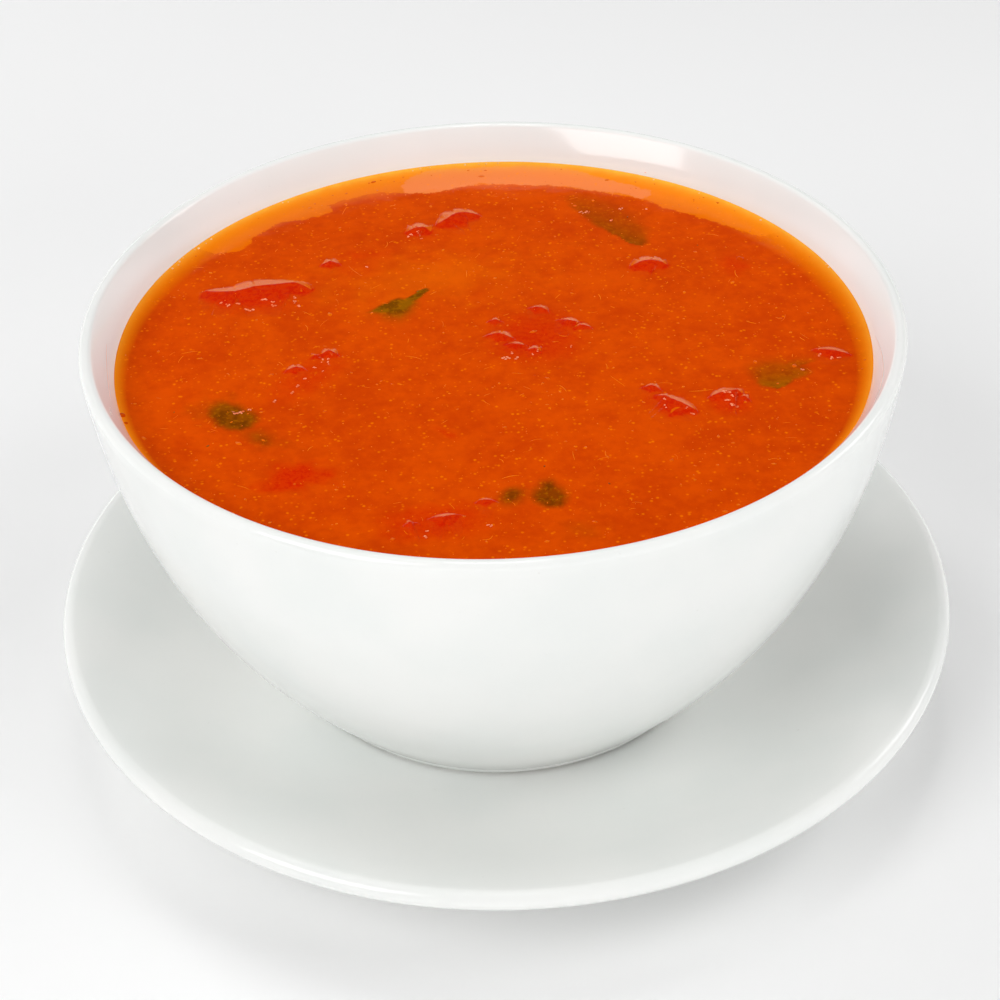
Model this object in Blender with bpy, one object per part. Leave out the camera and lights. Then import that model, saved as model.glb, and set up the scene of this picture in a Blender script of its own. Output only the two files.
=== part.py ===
"""Tomato soup with diced tomato, in a white porcelain bowl on its saucer.

Metres, +Z up. The origin is the middle of the saucer's foot, on the surface that it stands on.
The bowl and all that is in it are placed by one empty, whose own origin is the middle of the
bowl's base. Every turned piece is an outline spun round a vertical axis.
"""

import math

import bmesh
import bpy
from mathutils import Matrix, Vector, noise
from mathutils.geometry import interpolate_bezier

MM = 0.001
GAP = 0.3 * MM  # between pieces that touch
TURN_STEPS = 56

# Saucer
SAUCER_RADIUS = 82.0 * MM
SAUCER_LIP = 1.7 * MM  # radius of the rolled edge
SAUCER_LIP_HEIGHT = 19.5 * MM  # middle of the rolled edge
WELL_RADIUS = 41.0 * MM  # the level middle that the bowl stands on
WELL_HEIGHT = 7.5 * MM
WALL_RISE = math.radians(24)  # the dish's slope where it meets the rolled edge
WELL_PULL, RISE_PULL, UNDER_PULL = 16.0 * MM, 14.0 * MM, 12.0 * MM
WELL_THICKNESS = 4.2 * MM
FOOT_INNER, FOOT_OUTER = 41.0 * MM, 45.0 * MM
FOOT_BEVEL = 0.8 * MM

# Bowl, measured from its base
BOWL_OFFSET = (-1.0 * MM, -0.8 * MM)  # the bowl stands a little off the saucer's middle
BOWL_RADIUS = 69.9 * MM
LIP = 1.2 * MM  # radius of the rounded lip
LIP_HEIGHT = 70.2 * MM  # middle of the lip
TOP_LEAN = math.radians(5.4)  # the outer wall from upright, at the lip
TOP_PULL = 37.3 * MM
BASE_RADIUS, BASE_EDGE = 39.9 * MM, 1.2 * MM  # where the outer wall ends, over a small round
BASE_LEAN = math.radians(40)
BASE_PULL = 18.2 * MM
FOOT_RING = 5.0 * MM  # width of the ring that the bowl rests on
RECESS = 1.2 * MM  # height of the hollow inside that ring
LIP_SLOPE = math.radians(34)  # inner wall from upright, just under the lip
SHOULDER_RADIUS, SHOULDER_HEIGHT = 64.2 * MM, 62.7 * MM  # the inner wall turns upright here
SHOULDER_LEAN = math.radians(11)
LIP_PULL, SHOULDER_PULL = 4.5 * MM, 3.0 * MM
INNER_PULL = 34.0 * MM
FLOOR_RADIUS, FLOOR_HEIGHT = 20.0 * MM, 6.4 * MM
FLOOR_PULL = 24.0 * MM

# Soup
SOUP_LEVEL = 64.3 * MM
CLIMB = 0.7 * MM  # the soup clings to the wall this much higher
CLIMB_REACH = 5.5 * MM
CLIMB_STEPS = (1, 0.45, 0.15, 0)  # shares of that reach, from the wall inwards, where it bends

# Diced tomato: place from the bowl's axis, length, width and depth, turn in degrees, how far each
# stands out of the soup, and how far its top sags between its two ends. Lengths in millimetres.
TOMATO_DICE = (
    ((-41.9, 16.4), (20.0, 10.5, 9.0), -3, 2.0, 0.0),
    ((-8.5, 39.2), (18.0, 8.5, 7.0), 27, 1.6, 1.2),
    ((-24.5, 26.3), (14.0, 5.5, 6.0), -9, 0.8, 0.0),
    ((-31.5, -8.5), (21.0, 10.0, 8.0), 55, 1.3, 1.0),
    ((7.9, 2.0), (19.0, 17.5, 8.0), 2, 0.8, 0.5),
    ((28.9, -19.5), (13.0, 7.5, 8.0), -50, 1.6, 0.5),
    ((38.9, -19.5), (8.0, 8.0, 7.0), 7, 1.7, 0.0),
    ((56.8, -6.5), (7.2, 3.6, 5.0), 10, 0.8, 0.0),
    ((28.5, 23.8), (10.0, 9.0, 7.0), 10, 1.3, 0.0),
    ((-9.6, -49.8), (19.0, 11.0, 7.0), 9, 1.0, 0.6),
)
BOXINESS = 2.7  # 2 is an ellipsoid, and higher is squarer
LUMPS = 0.26  # share of a piece's size that its lumps move the surface
LUMP_SCALE = 1.5
LUMP_SPREAD = 0.37  # how fast the lumps change from piece to piece
SAG_WIDTH = 0.3  # of a piece's length
LARGE_DIE = 9.5  # pieces at least this wide get one more cut

PORCELAIN = (0.87, 0.88, 0.85)
SOUP_ORANGE = (0.68, 0.066, 0.003)
TOMATO_RED = (0.60, 0.032, 0.006)
SHARP_EDGE = math.radians(40)  # steeper edges aren't shaded smooth
WELD = 0.001 * MM


def clear_scene():
    for old in list(bpy.data.objects):
        bpy.data.objects.remove(old, do_unlink=True)


def material(name, colour, roughness):
    made = bpy.data.materials.new(name)
    made.use_nodes = True
    shader = made.node_tree.nodes["Principled BSDF"]
    shader.inputs["Base Color"].default_value = (*colour, 1.0)
    shader.inputs["Roughness"].default_value = roughness
    shader.inputs["Metallic"].default_value = 0.0
    return made


def piece(name, shape, finish, parent=None):
    """A named object made of a bmesh, shaded smooth up to its sharp edges."""
    mesh = bpy.data.meshes.new(name)
    shape.to_mesh(mesh)
    shape.free()
    mesh.shade_smooth()
    mesh.set_sharp_from_angle(angle=SHARP_EDGE)
    made = bpy.data.objects.new(name, mesh)
    bpy.context.scene.collection.objects.link(made)
    made.parent = parent
    if finish:
        mesh.materials.append(finish)
    return made


def bezier(start, start_angle, start_pull, end, end_angle, end_pull, points):
    """A curve between two (radius, height) points; each angle is its handle's own, from +radius."""
    knots = [Vector((*start, 0)), Vector((*end, 0))]
    handles = [
        Vector((math.cos(angle) * pull, math.sin(angle) * pull, 0))
        for angle, pull in ((start_angle, start_pull), (end_angle, end_pull))
    ]
    curve = interpolate_bezier(knots[0], knots[0] + handles[0], knots[1] + handles[1], knots[1], points)
    return [(point.x, point.y) for point in curve]


def arc(centre, radius, start, end, points):
    """Points round a centre, from one angle to another."""
    angles = [start + (end - start) * step / (points - 1) for step in range(points)]
    return [(centre[0] + radius * math.cos(a), centre[1] + radius * math.sin(a)) for a in angles]


def turned(outline):
    """An outline of (radius, height) points, from the axis back to the axis, spun into a solid."""
    shape = bmesh.new()
    corners = [shape.verts.new((radius, 0, height)) for radius, height in outline]
    edges = [shape.edges.new(pair) for pair in zip(corners, corners[1:])]
    bmesh.ops.spin(
        shape, geom=corners + edges, cent=(0, 0, 0), axis=(0, 0, 1), angle=math.tau, steps=TURN_STEPS
    )
    bmesh.ops.remove_doubles(shape, verts=shape.verts, dist=WELD)
    bmesh.ops.recalc_face_normals(shape, faces=shape.faces)
    return shape


def saucer_outline():
    lip_middle = (SAUCER_RADIUS - SAUCER_LIP, SAUCER_LIP_HEIGHT)
    upper_side = math.pi / 2 + WALL_RISE
    rolled = arc(lip_middle, SAUCER_LIP, upper_side, upper_side - math.pi, 7)
    back = math.pi + WALL_RISE
    dish = bezier((WELL_RADIUS, WELL_HEIGHT), 0, WELL_PULL, rolled[0], back, RISE_PULL, 6)
    foot_top = WELL_HEIGHT - WELL_THICKNESS
    neck = (FOOT_OUTER + FOOT_BEVEL, foot_top)
    underside = bezier(rolled[-1], back, WELL_PULL, neck, 0, UNDER_PULL, 4)
    foot = [
        (FOOT_OUTER, FOOT_BEVEL),
        (FOOT_OUTER - FOOT_BEVEL, 0),
        (FOOT_INNER + FOOT_BEVEL, 0),
        (FOOT_INNER, FOOT_BEVEL),
        (FOOT_INNER - FOOT_BEVEL, foot_top),
    ]
    return [(0, WELL_HEIGHT)] + dish[:-1] + rolled + underside[1:] + foot + [(0, foot_top)]


def inner_wall():
    """The inside of the bowl, from its lip down to the level floor."""
    lip_middle = (BOWL_RADIUS - LIP, LIP_HEIGHT)
    lip_side = math.pi - LIP_SLOPE
    start = arc(lip_middle, LIP, lip_side, lip_side, 2)[0]
    shoulder = (SHOULDER_RADIUS, SHOULDER_HEIGHT)
    down, up = -math.pi / 2, math.pi / 2
    floor = (FLOOR_RADIUS, FLOOR_HEIGHT)
    top = bezier(start, down - LIP_SLOPE, LIP_PULL, shoulder, up - SHOULDER_LEAN, SHOULDER_PULL, 4)
    rest = bezier(shoulder, down - SHOULDER_LEAN, INNER_PULL, floor, 0, FLOOR_PULL, 7)
    return top + rest[1:]


def bowl_outline():
    lip_middle = (BOWL_RADIUS - LIP, LIP_HEIGHT)
    lip = arc(lip_middle, LIP, math.pi - LIP_SLOPE, 0, 6)
    down, up = -math.pi / 2, math.pi / 2
    end = (BASE_RADIUS, BASE_EDGE)
    wall = bezier(lip[-1], down - TOP_LEAN, TOP_PULL, end, up - BASE_LEAN, BASE_PULL, 10)
    base_middle = (BASE_RADIUS - BASE_EDGE, BASE_EDGE)
    base = arc(base_middle, BASE_EDGE, -math.pi / 6, -math.pi / 2, 3)
    ring_inner = BASE_RADIUS - BASE_EDGE - FOOT_RING
    recess = [(ring_inner, 0), (ring_inner - RECESS, RECESS), (0, RECESS)]
    return [(0, FLOOR_HEIGHT)] + inner_wall()[::-1] + lip[1:] + wall[1:] + base + recess


def wall_radius(height):
    """The radius of the bowl's inner wall at a height."""
    points = inner_wall()
    for (outer, top), (inner, bottom) in zip(points, points[1:]):
        if bottom <= height <= top:
            return inner + (outer - inner) * (height - bottom) / (top - bottom)
    raise ValueError("the wall has no such height")


def soup_outline():
    """Soup up to its level, a gap clear of the bowl, climbing the wall in a small curve."""
    edge_height = SOUP_LEVEL + CLIMB
    edge = wall_radius(edge_height) - GAP
    surface = [
        (edge - CLIMB_REACH * share, SOUP_LEVEL + CLIMB * (1 - share) ** 3) for share in CLIMB_STEPS
    ]
    side = [(radius - GAP, height) for radius, height in inner_wall() if height < edge_height - MM]
    side = [(radius, height + GAP) for radius, height in side]
    return [(0, SOUP_LEVEL)] + surface + side + [(0, FLOOR_HEIGHT + GAP)]


def die(place, size, turn, rise, sag, spread=0.0):
    """A lumpy, rounded block of tomato; spread moves its whole surface outwards."""
    shape = bmesh.new()
    bmesh.ops.create_cube(shape, size=2)
    cuts = 3 if size[1] >= LARGE_DIE else 2
    bmesh.ops.subdivide_edges(shape, edges=shape.edges, cuts=cuts, use_grid_fill=True)
    seed = Vector((*place, 0)) * LUMP_SPREAD
    half = Vector(size) * MM / 2
    for corner in shape.verts:
        spot = corner.co
        length = sum(abs(value) ** BOXINESS for value in spot) ** (1 / BOXINESS)
        spot = spot / length
        lump = 1 + LUMPS * noise.noise(spot * LUMP_SCALE + seed)
        dip = sag * MM * math.exp(-((spot.x / (2 * SAG_WIDTH)) ** 2)) * max(spot.z, 0)
        corner.co = Vector((spot.x * half.x, spot.y * half.y, spot.z * half.z)) * lump
        corner.co.z -= dip
    top = max(corner.co.z for corner in shape.verts)
    middle = Vector((place[0] * MM, place[1] * MM, SOUP_LEVEL + rise * MM - top))
    matrix = Matrix.Translation(middle) @ Matrix.Rotation(math.radians(turn), 4, "Z")
    bmesh.ops.transform(shape, matrix=matrix, verts=shape.verts)
    bmesh.ops.recalc_face_normals(shape, faces=shape.faces)
    bmesh.ops.triangulate(shape, faces=shape.faces)  # a piece and its pocket share one set of facets
    if spread:
        shape.normal_update()
        moved = [corner.co + corner.normal * spread for corner in shape.verts]
        for corner, spot in zip(shape.verts, moved):
            corner.co = spot
    return shape


def cut_pocket(soup, cutter):
    cutter.hide_render = True
    cutter.display_type = "WIRE"
    cut = soup.modifiers.new(cutter.name, "BOOLEAN")
    cut.operation = "DIFFERENCE"
    cut.object = cutter


def main():
    clear_scene()
    piece("saucer", turned(saucer_outline()), material("saucer_glaze", PORCELAIN, 0.1))

    stand = bpy.data.objects.new("bowl_stand", None)
    bpy.context.scene.collection.objects.link(stand)
    stand.location = (*BOWL_OFFSET, WELL_HEIGHT + GAP)
    piece("bowl", turned(bowl_outline()), material("bowl_glaze", PORCELAIN, 0.1), stand)
    soup = piece("soup", turned(soup_outline()), material("soup", SOUP_ORANGE, 0.15), stand)

    flesh = material("tomato_flesh", TOMATO_RED, 0.2)
    for number, (place, size, turn, rise, sag) in enumerate(TOMATO_DICE, 1):
        piece(f"tomato_die_{number:02d}", die(place, size, turn, rise, sag), flesh, stand)
        pocket = piece(f"pocket_{number:02d}", die(place, size, turn, rise, sag, GAP), None, stand)
        cut_pocket(soup, pocket)


main()
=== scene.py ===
"""Looks of a bowl of tomato soup on its saucer.

Glazed porcelain, thick soup with pulp and fibres, diced tomato that just breaks its surface, and
herb leaves afloat or sunk under a film of it. Lengths are metres, +Z is up, and every piece is
made in place, in the frame's own coordinates.
"""

from __future__ import annotations

import logging
import math
from collections.abc import Callable, Mapping, Sequence
from dataclasses import dataclass, field
from enum import Enum
from itertools import combinations
from types import MappingProxyType
from typing import Any

import bpy
import numpy as np
from mathutils import Euler, Matrix, Vector
from numpy.typing import NDArray

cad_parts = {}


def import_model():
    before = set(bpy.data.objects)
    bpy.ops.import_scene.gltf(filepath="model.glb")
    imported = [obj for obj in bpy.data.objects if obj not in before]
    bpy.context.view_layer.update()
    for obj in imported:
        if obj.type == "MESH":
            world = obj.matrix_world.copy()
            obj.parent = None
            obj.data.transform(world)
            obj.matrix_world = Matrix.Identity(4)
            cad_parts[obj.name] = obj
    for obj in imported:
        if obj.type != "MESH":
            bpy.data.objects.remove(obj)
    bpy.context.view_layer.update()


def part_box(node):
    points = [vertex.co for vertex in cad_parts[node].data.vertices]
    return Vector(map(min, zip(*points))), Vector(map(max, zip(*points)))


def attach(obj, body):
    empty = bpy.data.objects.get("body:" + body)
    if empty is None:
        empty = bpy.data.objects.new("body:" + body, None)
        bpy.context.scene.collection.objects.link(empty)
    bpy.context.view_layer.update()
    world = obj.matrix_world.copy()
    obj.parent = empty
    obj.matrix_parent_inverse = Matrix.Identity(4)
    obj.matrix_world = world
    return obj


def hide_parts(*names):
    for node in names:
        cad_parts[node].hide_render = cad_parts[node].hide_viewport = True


Array = NDArray[np.float64]
Colour = tuple[float, float, float]
Row = tuple[float, ...]
Handle = tuple[Sequence[float], float, float]

log = logging.getLogger("tomato_soup")

MM = 0.001
TINY = 1e-9
EMPTY: Mapping[int | str, Any] = MappingProxyType({})
BODY = "root"


def smooth_step(low: float, high: float, value: Array) -> Array:
    """A soft ramp: 0 up to low, 1 from high on, and 3t^2 - 2t^3 between them.

    Args:
        low: Where the ramp starts; it may be above high, for a falling ramp.
        high: Where it ends.
        value: Where it is read.

    Returns:
        The ramp's values, from 0 to 1.
    """
    share = np.clip((value - low) / (high - low), 0.0, 1.0)
    return share * share * (3.0 - 2.0 * share)


def soft_max(first: Array, second: Array, width: float) -> Array:
    """The higher of two heights, with a fillet where they cross.

    The formula is (a + b + sqrt((a - b)^2 + width^2)) / 2, so the fillet lifts the crossing by
    half the width.

    Args:
        first: One height.
        second: The other.
        width: How broad the fillet is.

    Returns:
        The joined height.
    """
    return (first + second + np.sqrt((first - second) ** 2 + width**2)) / 2


def bezier(start: Handle, end: Handle, count: int) -> Array:
    """A cubic Bezier: its four points weighted by (1-t)^3, 3t(1-t)^2, 3t^2(1-t) and t^3.

    Args:
        start: The first (radius, height), its handle's angle from +radius and that one's length.
        end: The last (radius, height) and its handle.
        count: How many points to read.

    Returns:
        An array of count (radius, height) points.
    """
    (first, first_handle), (last, last_handle) = (
        (np.array(point), np.array(point) + pull * np.array([math.cos(angle), math.sin(angle)]))
        for point, angle, pull in (start, end)
    )
    t = np.linspace(0.0, 1.0, count)[:, None]
    inner = 3 * t * (1 - t) * ((1 - t) * first_handle + t * last_handle)
    return (1 - t) ** 3 * first + inner + t**3 * last


def arc(centre: Sequence[float], radius: float, start: float, end: float, count: int) -> Array:
    """Points round a centre, evenly from one angle to another.

    Args:
        centre: The (radius, height) of the middle.
        radius: The arc's own radius.
        start: The first angle, from +radius.
        end: The last angle.
        count: How many points.

    Returns:
        An array of count (radius, height) points.
    """
    angle = np.linspace(start, end, count)
    return np.stack([centre[0] + radius * np.cos(angle), centre[1] + radius * np.sin(angle)], 1)


def spots(numbers: Sequence[float]) -> Array:
    """Places x + iy in metres, from a row of x and y in millimetres."""
    return (np.array(numbers[::2]) + 1j * np.array(numbers[1::2])) * MM


def turned(plan: Array, degrees: float) -> Array:
    """Places turned about the origin, anticlockwise for positive degrees."""
    cosine, sine = math.cos(math.radians(degrees)), math.sin(math.radians(degrees))
    return cosine * plan.real - sine * plan.imag + 1j * (sine * plan.real + cosine * plan.imag)


def points_at(plan: Array | complex, height: Array | float) -> Array:
    """World points over places x + iy, each at its height."""
    return np.stack([np.real(plan), np.imag(plan), np.broadcast_to(height, np.shape(plan))], -1)


def outline_depth(outline: Row, plan: Array) -> Array:
    """How far inside a closed outline each place is.

    A place is inside where a ray along X crosses the outline an odd number of times.

    Args:
        outline: The outline's corners, as spots reads them.
        plan: The places, x + iy.

    Returns:
        The distance to the outline, negative outside it.
    """
    corners = spots(outline)
    nearest, inside = np.full(plan.shape, np.inf), np.zeros(plan.shape, bool)
    for start, end in zip(corners, np.roll(corners, -1)):
        way = end - start
        along = np.clip(((plan - start) / way).real, 0.0, 1.0)
        nearest = np.minimum(nearest, np.abs(plan - start - along * way))
        spanned = (start.imag > plan.imag) != (end.imag > plan.imag)
        rate = way.real / way.imag if way.imag else 0.0
        inside ^= spanned & (plan.real < start.real + (plan.imag - start.imag) * rate)
    return np.where(inside, nearest, -nearest)


@dataclass(frozen=True)
class Noise:
    """Smooth gradient noise in plan, the same for one seed each time.

    A lattice of directions is drawn from the seed. At a place, the four corners' directions
    are each multiplied with the way from the corner, and blended with 6t^5 - 15t^4 + 10t^3.

    Attributes:
        seed: What the lattice is drawn from.
        lattice: Its size each way, beyond which the noise repeats.
        scale: What the blend is multiplied with, so that it reaches about 1.
    """

    seed: int
    lattice: int = 128
    scale: float = 1.5

    def at(self, plan: Array, size: float) -> Array:
        """The noise, from about -1 to 1, with lumps about as far apart as size.

        Args:
            plan: The places, x + iy.
            size: The lattice's spacing.

        Returns:
            The noise at each place.
        """
        turns = np.random.default_rng(self.seed).uniform(0.0, math.tau, (self.lattice, self.lattice))
        column, row = plan.real / size, plan.imag / size
        left, low = np.floor(column).astype(int), np.floor(row).astype(int)
        across, up = column - left, row - low

        def corner(right: int, above: int) -> Array:
            """The corner's direction multiplied with the way from it."""
            turn = turns[(low + above) % self.lattice, (left + right) % self.lattice]
            return np.cos(turn) * (across - right) + np.sin(turn) * (up - above)

        ease_x, ease_y = (t**3 * (t * (t * 6 - 15) + 10) for t in (across, up))
        lower = corner(0, 0) * (1 - ease_x) + corner(1, 0) * ease_x
        upper = corner(0, 1) * (1 - ease_x) + corner(1, 1) * ease_x
        return self.scale * (lower * (1 - ease_y) + upper * ease_y)

    def layered(self, plan: Array, size: float, layers: int) -> Array:
        """Noise summed over finer and finer layers, each half as large and half as strong.

        Args:
            plan: The places, x + iy.
            size: The coarsest layer's spacing.
            layers: How many layers.

        Returns:
            The summed noise at each place.
        """
        shift = 17.3 * size * (1 - 1j)
        return sum(self.at(plan + layer * shift, size / 2**layer) / 2**layer for layer in range(layers))

    def creased(self, plan: Array, size: float) -> Array:
        """Folds with sharp tops: 1 - 2 |noise|, from about -1 to 1."""
        return 1.0 - 2.0 * np.abs(self.at(plan, size))


@dataclass
class MeshParts:
    """Points, faces and named values at the points, gathered before a mesh is made of them."""

    points: Array
    quads: NDArray[np.int64] = field(default_factory=lambda: np.empty((0, 4), np.int64))
    triangles: NDArray[np.int64] = field(default_factory=lambda: np.empty((0, 3), np.int64))
    values: dict[PointValue, Array] = field(default_factory=dict)

    def mesh(self, name: str) -> bpy.types.Mesh:
        """Makes the mesh with foreach_set, shaded smooth.

        Args:
            name: The mesh's name.

        Returns:
            The mesh.
        """
        made = bpy.data.meshes.new(name)
        made.vertices.add(len(self.points))
        made.vertices.foreach_set("co", self.points.astype(np.float32).ravel())
        corners = np.concatenate([self.quads.ravel(), self.triangles.ravel()])
        sizes = np.concatenate([np.full(len(self.quads), 4), np.full(len(self.triangles), 3)])
        made.loops.add(len(corners))
        made.loops.foreach_set("vertex_index", corners.astype(np.int32))
        made.polygons.add(len(sizes))
        starts = np.concatenate([[0], np.cumsum(sizes)[:-1]])
        made.polygons.foreach_set("loop_start", starts.astype(np.int32))
        made.update(calc_edges=True)
        made.validate()
        for label, value in self.values.items():
            layer = made.attributes.new(label.value, "FLOAT", "POINT")
            layer.data.foreach_set("value", np.asarray(value, np.float32).ravel())
        made.shade_smooth()
        return made


def grid_quads(rows: int, columns: int) -> NDArray[np.int64]:
    """Corners of the cells of a grid whose points are numbered row by row, anticlockwise."""
    first = (np.arange(rows - 1)[:, None] * columns + np.arange(columns - 1)).ravel()
    return np.stack([first, first + 1, first + columns + 1, first + columns], 1)


def turned_solid(outline: Array, steps: int) -> MeshParts:
    """An outline spun round the vertical axis: (r cos a, r sin a, z) for each step's angle a.

    Args:
        outline: (radius, height) points from the axis back to the axis, upper side first.
        steps: How many angles in a full turn.

    Returns:
        The closed body, with one point at each pole.
    """
    angle = np.linspace(0.0, math.tau, steps, endpoint=False)
    radius, height = outline[1:-1, 0][:, None], outline[1:-1, 1][:, None]
    rings = np.stack(
        [radius * np.cos(angle), radius * np.sin(angle), np.broadcast_to(height, (len(radius), steps))], 2
    )
    count = len(radius) * steps
    points = np.concatenate(
        [rings.reshape(-1, 3), [[0.0, 0.0, outline[0, 1]], [0.0, 0.0, outline[-1, 1]]]]
    )
    here = np.arange(steps)
    following = (here + 1) % steps
    start = (np.arange(len(radius) - 1) * steps)[:, None]
    quads = np.stack(
        [start + here, start + steps + here, start + steps + following, start + following], 2
    ).reshape(-1, 4)
    last = count - steps
    top_fan = np.stack([np.full(steps, count), here, following], 1)
    bottom_fan = np.stack([last + following, last + here, np.full(steps, count + 1)], 1)
    return MeshParts(points, quads, np.concatenate([top_fan, bottom_fan]))


def rounded_grid(rows: int, columns: int, roundness: float) -> Array:
    """A grid from -1 to 1 each way, its outline drawn in from a square to a disc.

    The disc's places are (x sqrt(1 - y^2/2), y sqrt(1 - x^2/2)), and roundness blends the
    square's places towards them.

    Args:
        rows: Places along Y.
        columns: Places along X.
        roundness: 0 for a square and 1 for a disc.

    Returns:
        The places x + iy, (rows, columns).
    """
    y, x = np.meshgrid(np.linspace(-1, 1, rows), np.linspace(-1, 1, columns), indexing="ij")
    square, disc = x + 1j * y, x * np.sqrt(1 - y * y / 2) + 1j * y * np.sqrt(1 - x * x / 2)
    return square + roundness * (disc - square)


def rim_order(rows: int, columns: int) -> NDArray[np.int64]:
    """The numbers of a grid's outer points, anticlockwise from its lowest, leftmost one."""
    number = np.arange(rows * columns).reshape(rows, columns)
    return np.concatenate([number[0], number[1:, -1], number[-1, -2::-1], number[-2:0:-1, 0]])


def closed_sheet(top: Array, rings: Array, pole: Array, values: Mapping[PointValue, Array]) -> MeshParts:
    """A grid as the upper side of a body, closed below by rings and a pole.

    Args:
        top: Points (rows, columns, 3), columns along X and rows along Y.
        rings: Points (rings, rim, 3), from the grid's rim down, in the order of rim_order.
        pole: The lowest point, in the middle of the last ring.
        values: Named values (rows, columns) on the grid, kept down the sides.

    Returns:
        The closed body.
    """
    rows, columns = top.shape[:2]
    rim = rim_order(rows, columns)
    count, around = rows * columns, len(rim)
    loops = np.concatenate([rim[None], count + np.arange(len(rings) * around).reshape(-1, around)])
    following = np.roll(loops, -1, axis=1)
    sides = np.stack([loops[1:], following[1:], following[:-1], loops[:-1]], 2).reshape(-1, 4)
    last = count + len(rings) * around
    fan = np.stack([following[-1], loops[-1], np.full(around, last)], 1)
    points = np.concatenate([top.reshape(-1, 3), rings.reshape(-1, 3), [pole]])
    kept = {
        label: np.concatenate([value.ravel(), np.tile(value.ravel()[rim], len(rings)), [value.mean()]])
        for label, value in values.items()
    }
    return MeshParts(points, np.concatenate([grid_quads(rows, columns), sides]), fan, kept)


def tubes(spines: Array, radii: Array, sides: int) -> MeshParts:
    """Round threads: a ring of points about each point of each spine, closed at both ends.

    A ring lies across the spine's own direction, spanned by the level way across it and the
    way up from it: spine + r (cos a across + sin a up).

    Args:
        spines: Points (threads, length, 3).
        radii: Radii (threads, length).
        sides: Points in a ring.

    Returns:
        All the threads as one set of points and faces.
    """
    threads, length = spines.shape[:2]
    ahead = np.gradient(spines, axis=1)
    ahead /= np.linalg.norm(ahead, axis=2, keepdims=True)
    across = np.cross(ahead, [0.0, 0.0, 1.0])
    across /= np.linalg.norm(across, axis=2, keepdims=True)
    up = np.cross(across, ahead)
    angle = np.linspace(0.0, math.tau, sides, endpoint=False)[:, None]
    rings = spines[:, :, None] + radii[:, :, None, None] * (
        np.cos(angle) * across[:, :, None] + np.sin(angle) * up[:, :, None]
    )
    number = np.arange(threads * length * sides).reshape(threads, length, sides)
    following = np.roll(number, -1, axis=2)
    walls = np.stack([number[:, :-1], following[:, :-1], following[:, 1:], number[:, 1:]], 3)
    ends = number.size + np.arange(2 * threads).reshape(threads, 2)
    tips = np.stack([spines[:, 0], spines[:, -1]], 1).reshape(-1, 3)
    start_fan = np.stack([following[:, 0], number[:, 0], np.repeat(ends[:, :1], sides, 1)], 2)
    end_fan = np.stack([number[:, -1], following[:, -1], np.repeat(ends[:, 1:], sides, 1)], 2)
    fans = np.concatenate([start_fan.reshape(-1, 3), end_fan.reshape(-1, 3)])
    return MeshParts(np.concatenate([rings.reshape(-1, 3), tips]), walls.reshape(-1, 4), fans)


def blob_template() -> tuple[Array, NDArray[np.int64]]:
    """A unit icosahedron: the (0, 1, golden ratio) rectangle's corners, turned over three ways."""
    golden = (1 + math.sqrt(5)) / 2
    rectangle = [(0.0, one, two) for one in (-1.0, 1.0) for two in (-golden, golden)]
    corners = np.array([np.roll(corner, -shift) for corner in rectangle for shift in range(3)])
    corners /= math.hypot(1.0, golden)
    edge = np.linalg.norm(corners[:, None] - corners[None], axis=2)
    near = np.isclose(edge, edge[edge > 0.1].min(), rtol=0.01)
    faces = []
    for a, b, c in combinations(range(len(corners)), 3):
        if near[a, b] and near[b, c] and near[a, c]:
            faces.append((a, b, c) if np.linalg.det(corners[[a, b, c]]) > 0 else (a, c, b))
    return corners, np.array(faces)


def scattered_blobs(centres: Array, sizes: Array, turns: Array) -> MeshParts:
    """Many small rounded lumps, each the same icosahedron stretched and turned about Z.

    Args:
        centres: Middles (count, 3).
        sizes: Half sizes (count, 3) along each lump's own axes.
        turns: Angles (count,) in radians.

    Returns:
        All the lumps as one set of points and faces.
    """
    corners, faces = blob_template()
    x, y, z = np.moveaxis(corners[None] * sizes[:, None], 2, 0)
    cosine, sine = np.cos(turns)[:, None], np.sin(turns)[:, None]
    points = np.stack([x * cosine - y * sine, x * sine + y * cosine, z], 2) + centres[:, None]
    starts = (np.arange(len(centres)) * len(corners))[:, None, None]
    return MeshParts(points.reshape(-1, 3), triangles=(faces[None] + starts).reshape(-1, 3))


class Slot(Enum):
    """The record's material slots."""

    PORCELAIN = "porcelain"
    SOUP = "soup"
    TOMATO = "tomato"
    HERB = "herb"


def add_piece(
    name: str, parts: MeshParts, finish: bpy.types.Material, slot: Slot,
    replaced: Sequence[str] = (), rounding: int = 0,
) -> None:
    """Makes a piece of the object, which rides on the frame's body.

    Args:
        name: The piece's name.
        parts: Its mesh, in place.
        finish: Its material.
        slot: The record's slot for its finish, which is only logged.
        replaced: The frame's nodes that it stands for.
        rounding: How many times its faces are divided and rounded.
    """
    piece = bpy.data.objects.new(name, parts.mesh(name))
    piece.data.materials.append(finish)
    bpy.context.scene.collection.objects.link(piece)
    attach(piece, BODY)
    if replaced:
        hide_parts(*replaced)
    if rounding:
        rounder = piece.modifiers.new("rounder", "SUBSURF")
        rounder.levels = rounder.render_levels = rounding
    log.info("%s: %d faces, slot %s", name, len(piece.data.polygons), slot.value)


def operator(operation: str, swapped: bool = False) -> Callable[[Value, Any], Value]:
    """A method of Value for one of Python's operators, which adds a Math node.

    Args:
        operation: The Math node's operation.
        swapped: Whether the other value comes first, as in a reflected operator.

    Returns:
        The method.
    """

    def method(self: Value, other: Any) -> Value:
        """The operator's result."""
        first, second = (other, self) if swapped else (self, other)
        return self.graph.node("Math", 0, {0: first, 1: second}, operation=operation)

    return method


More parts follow.
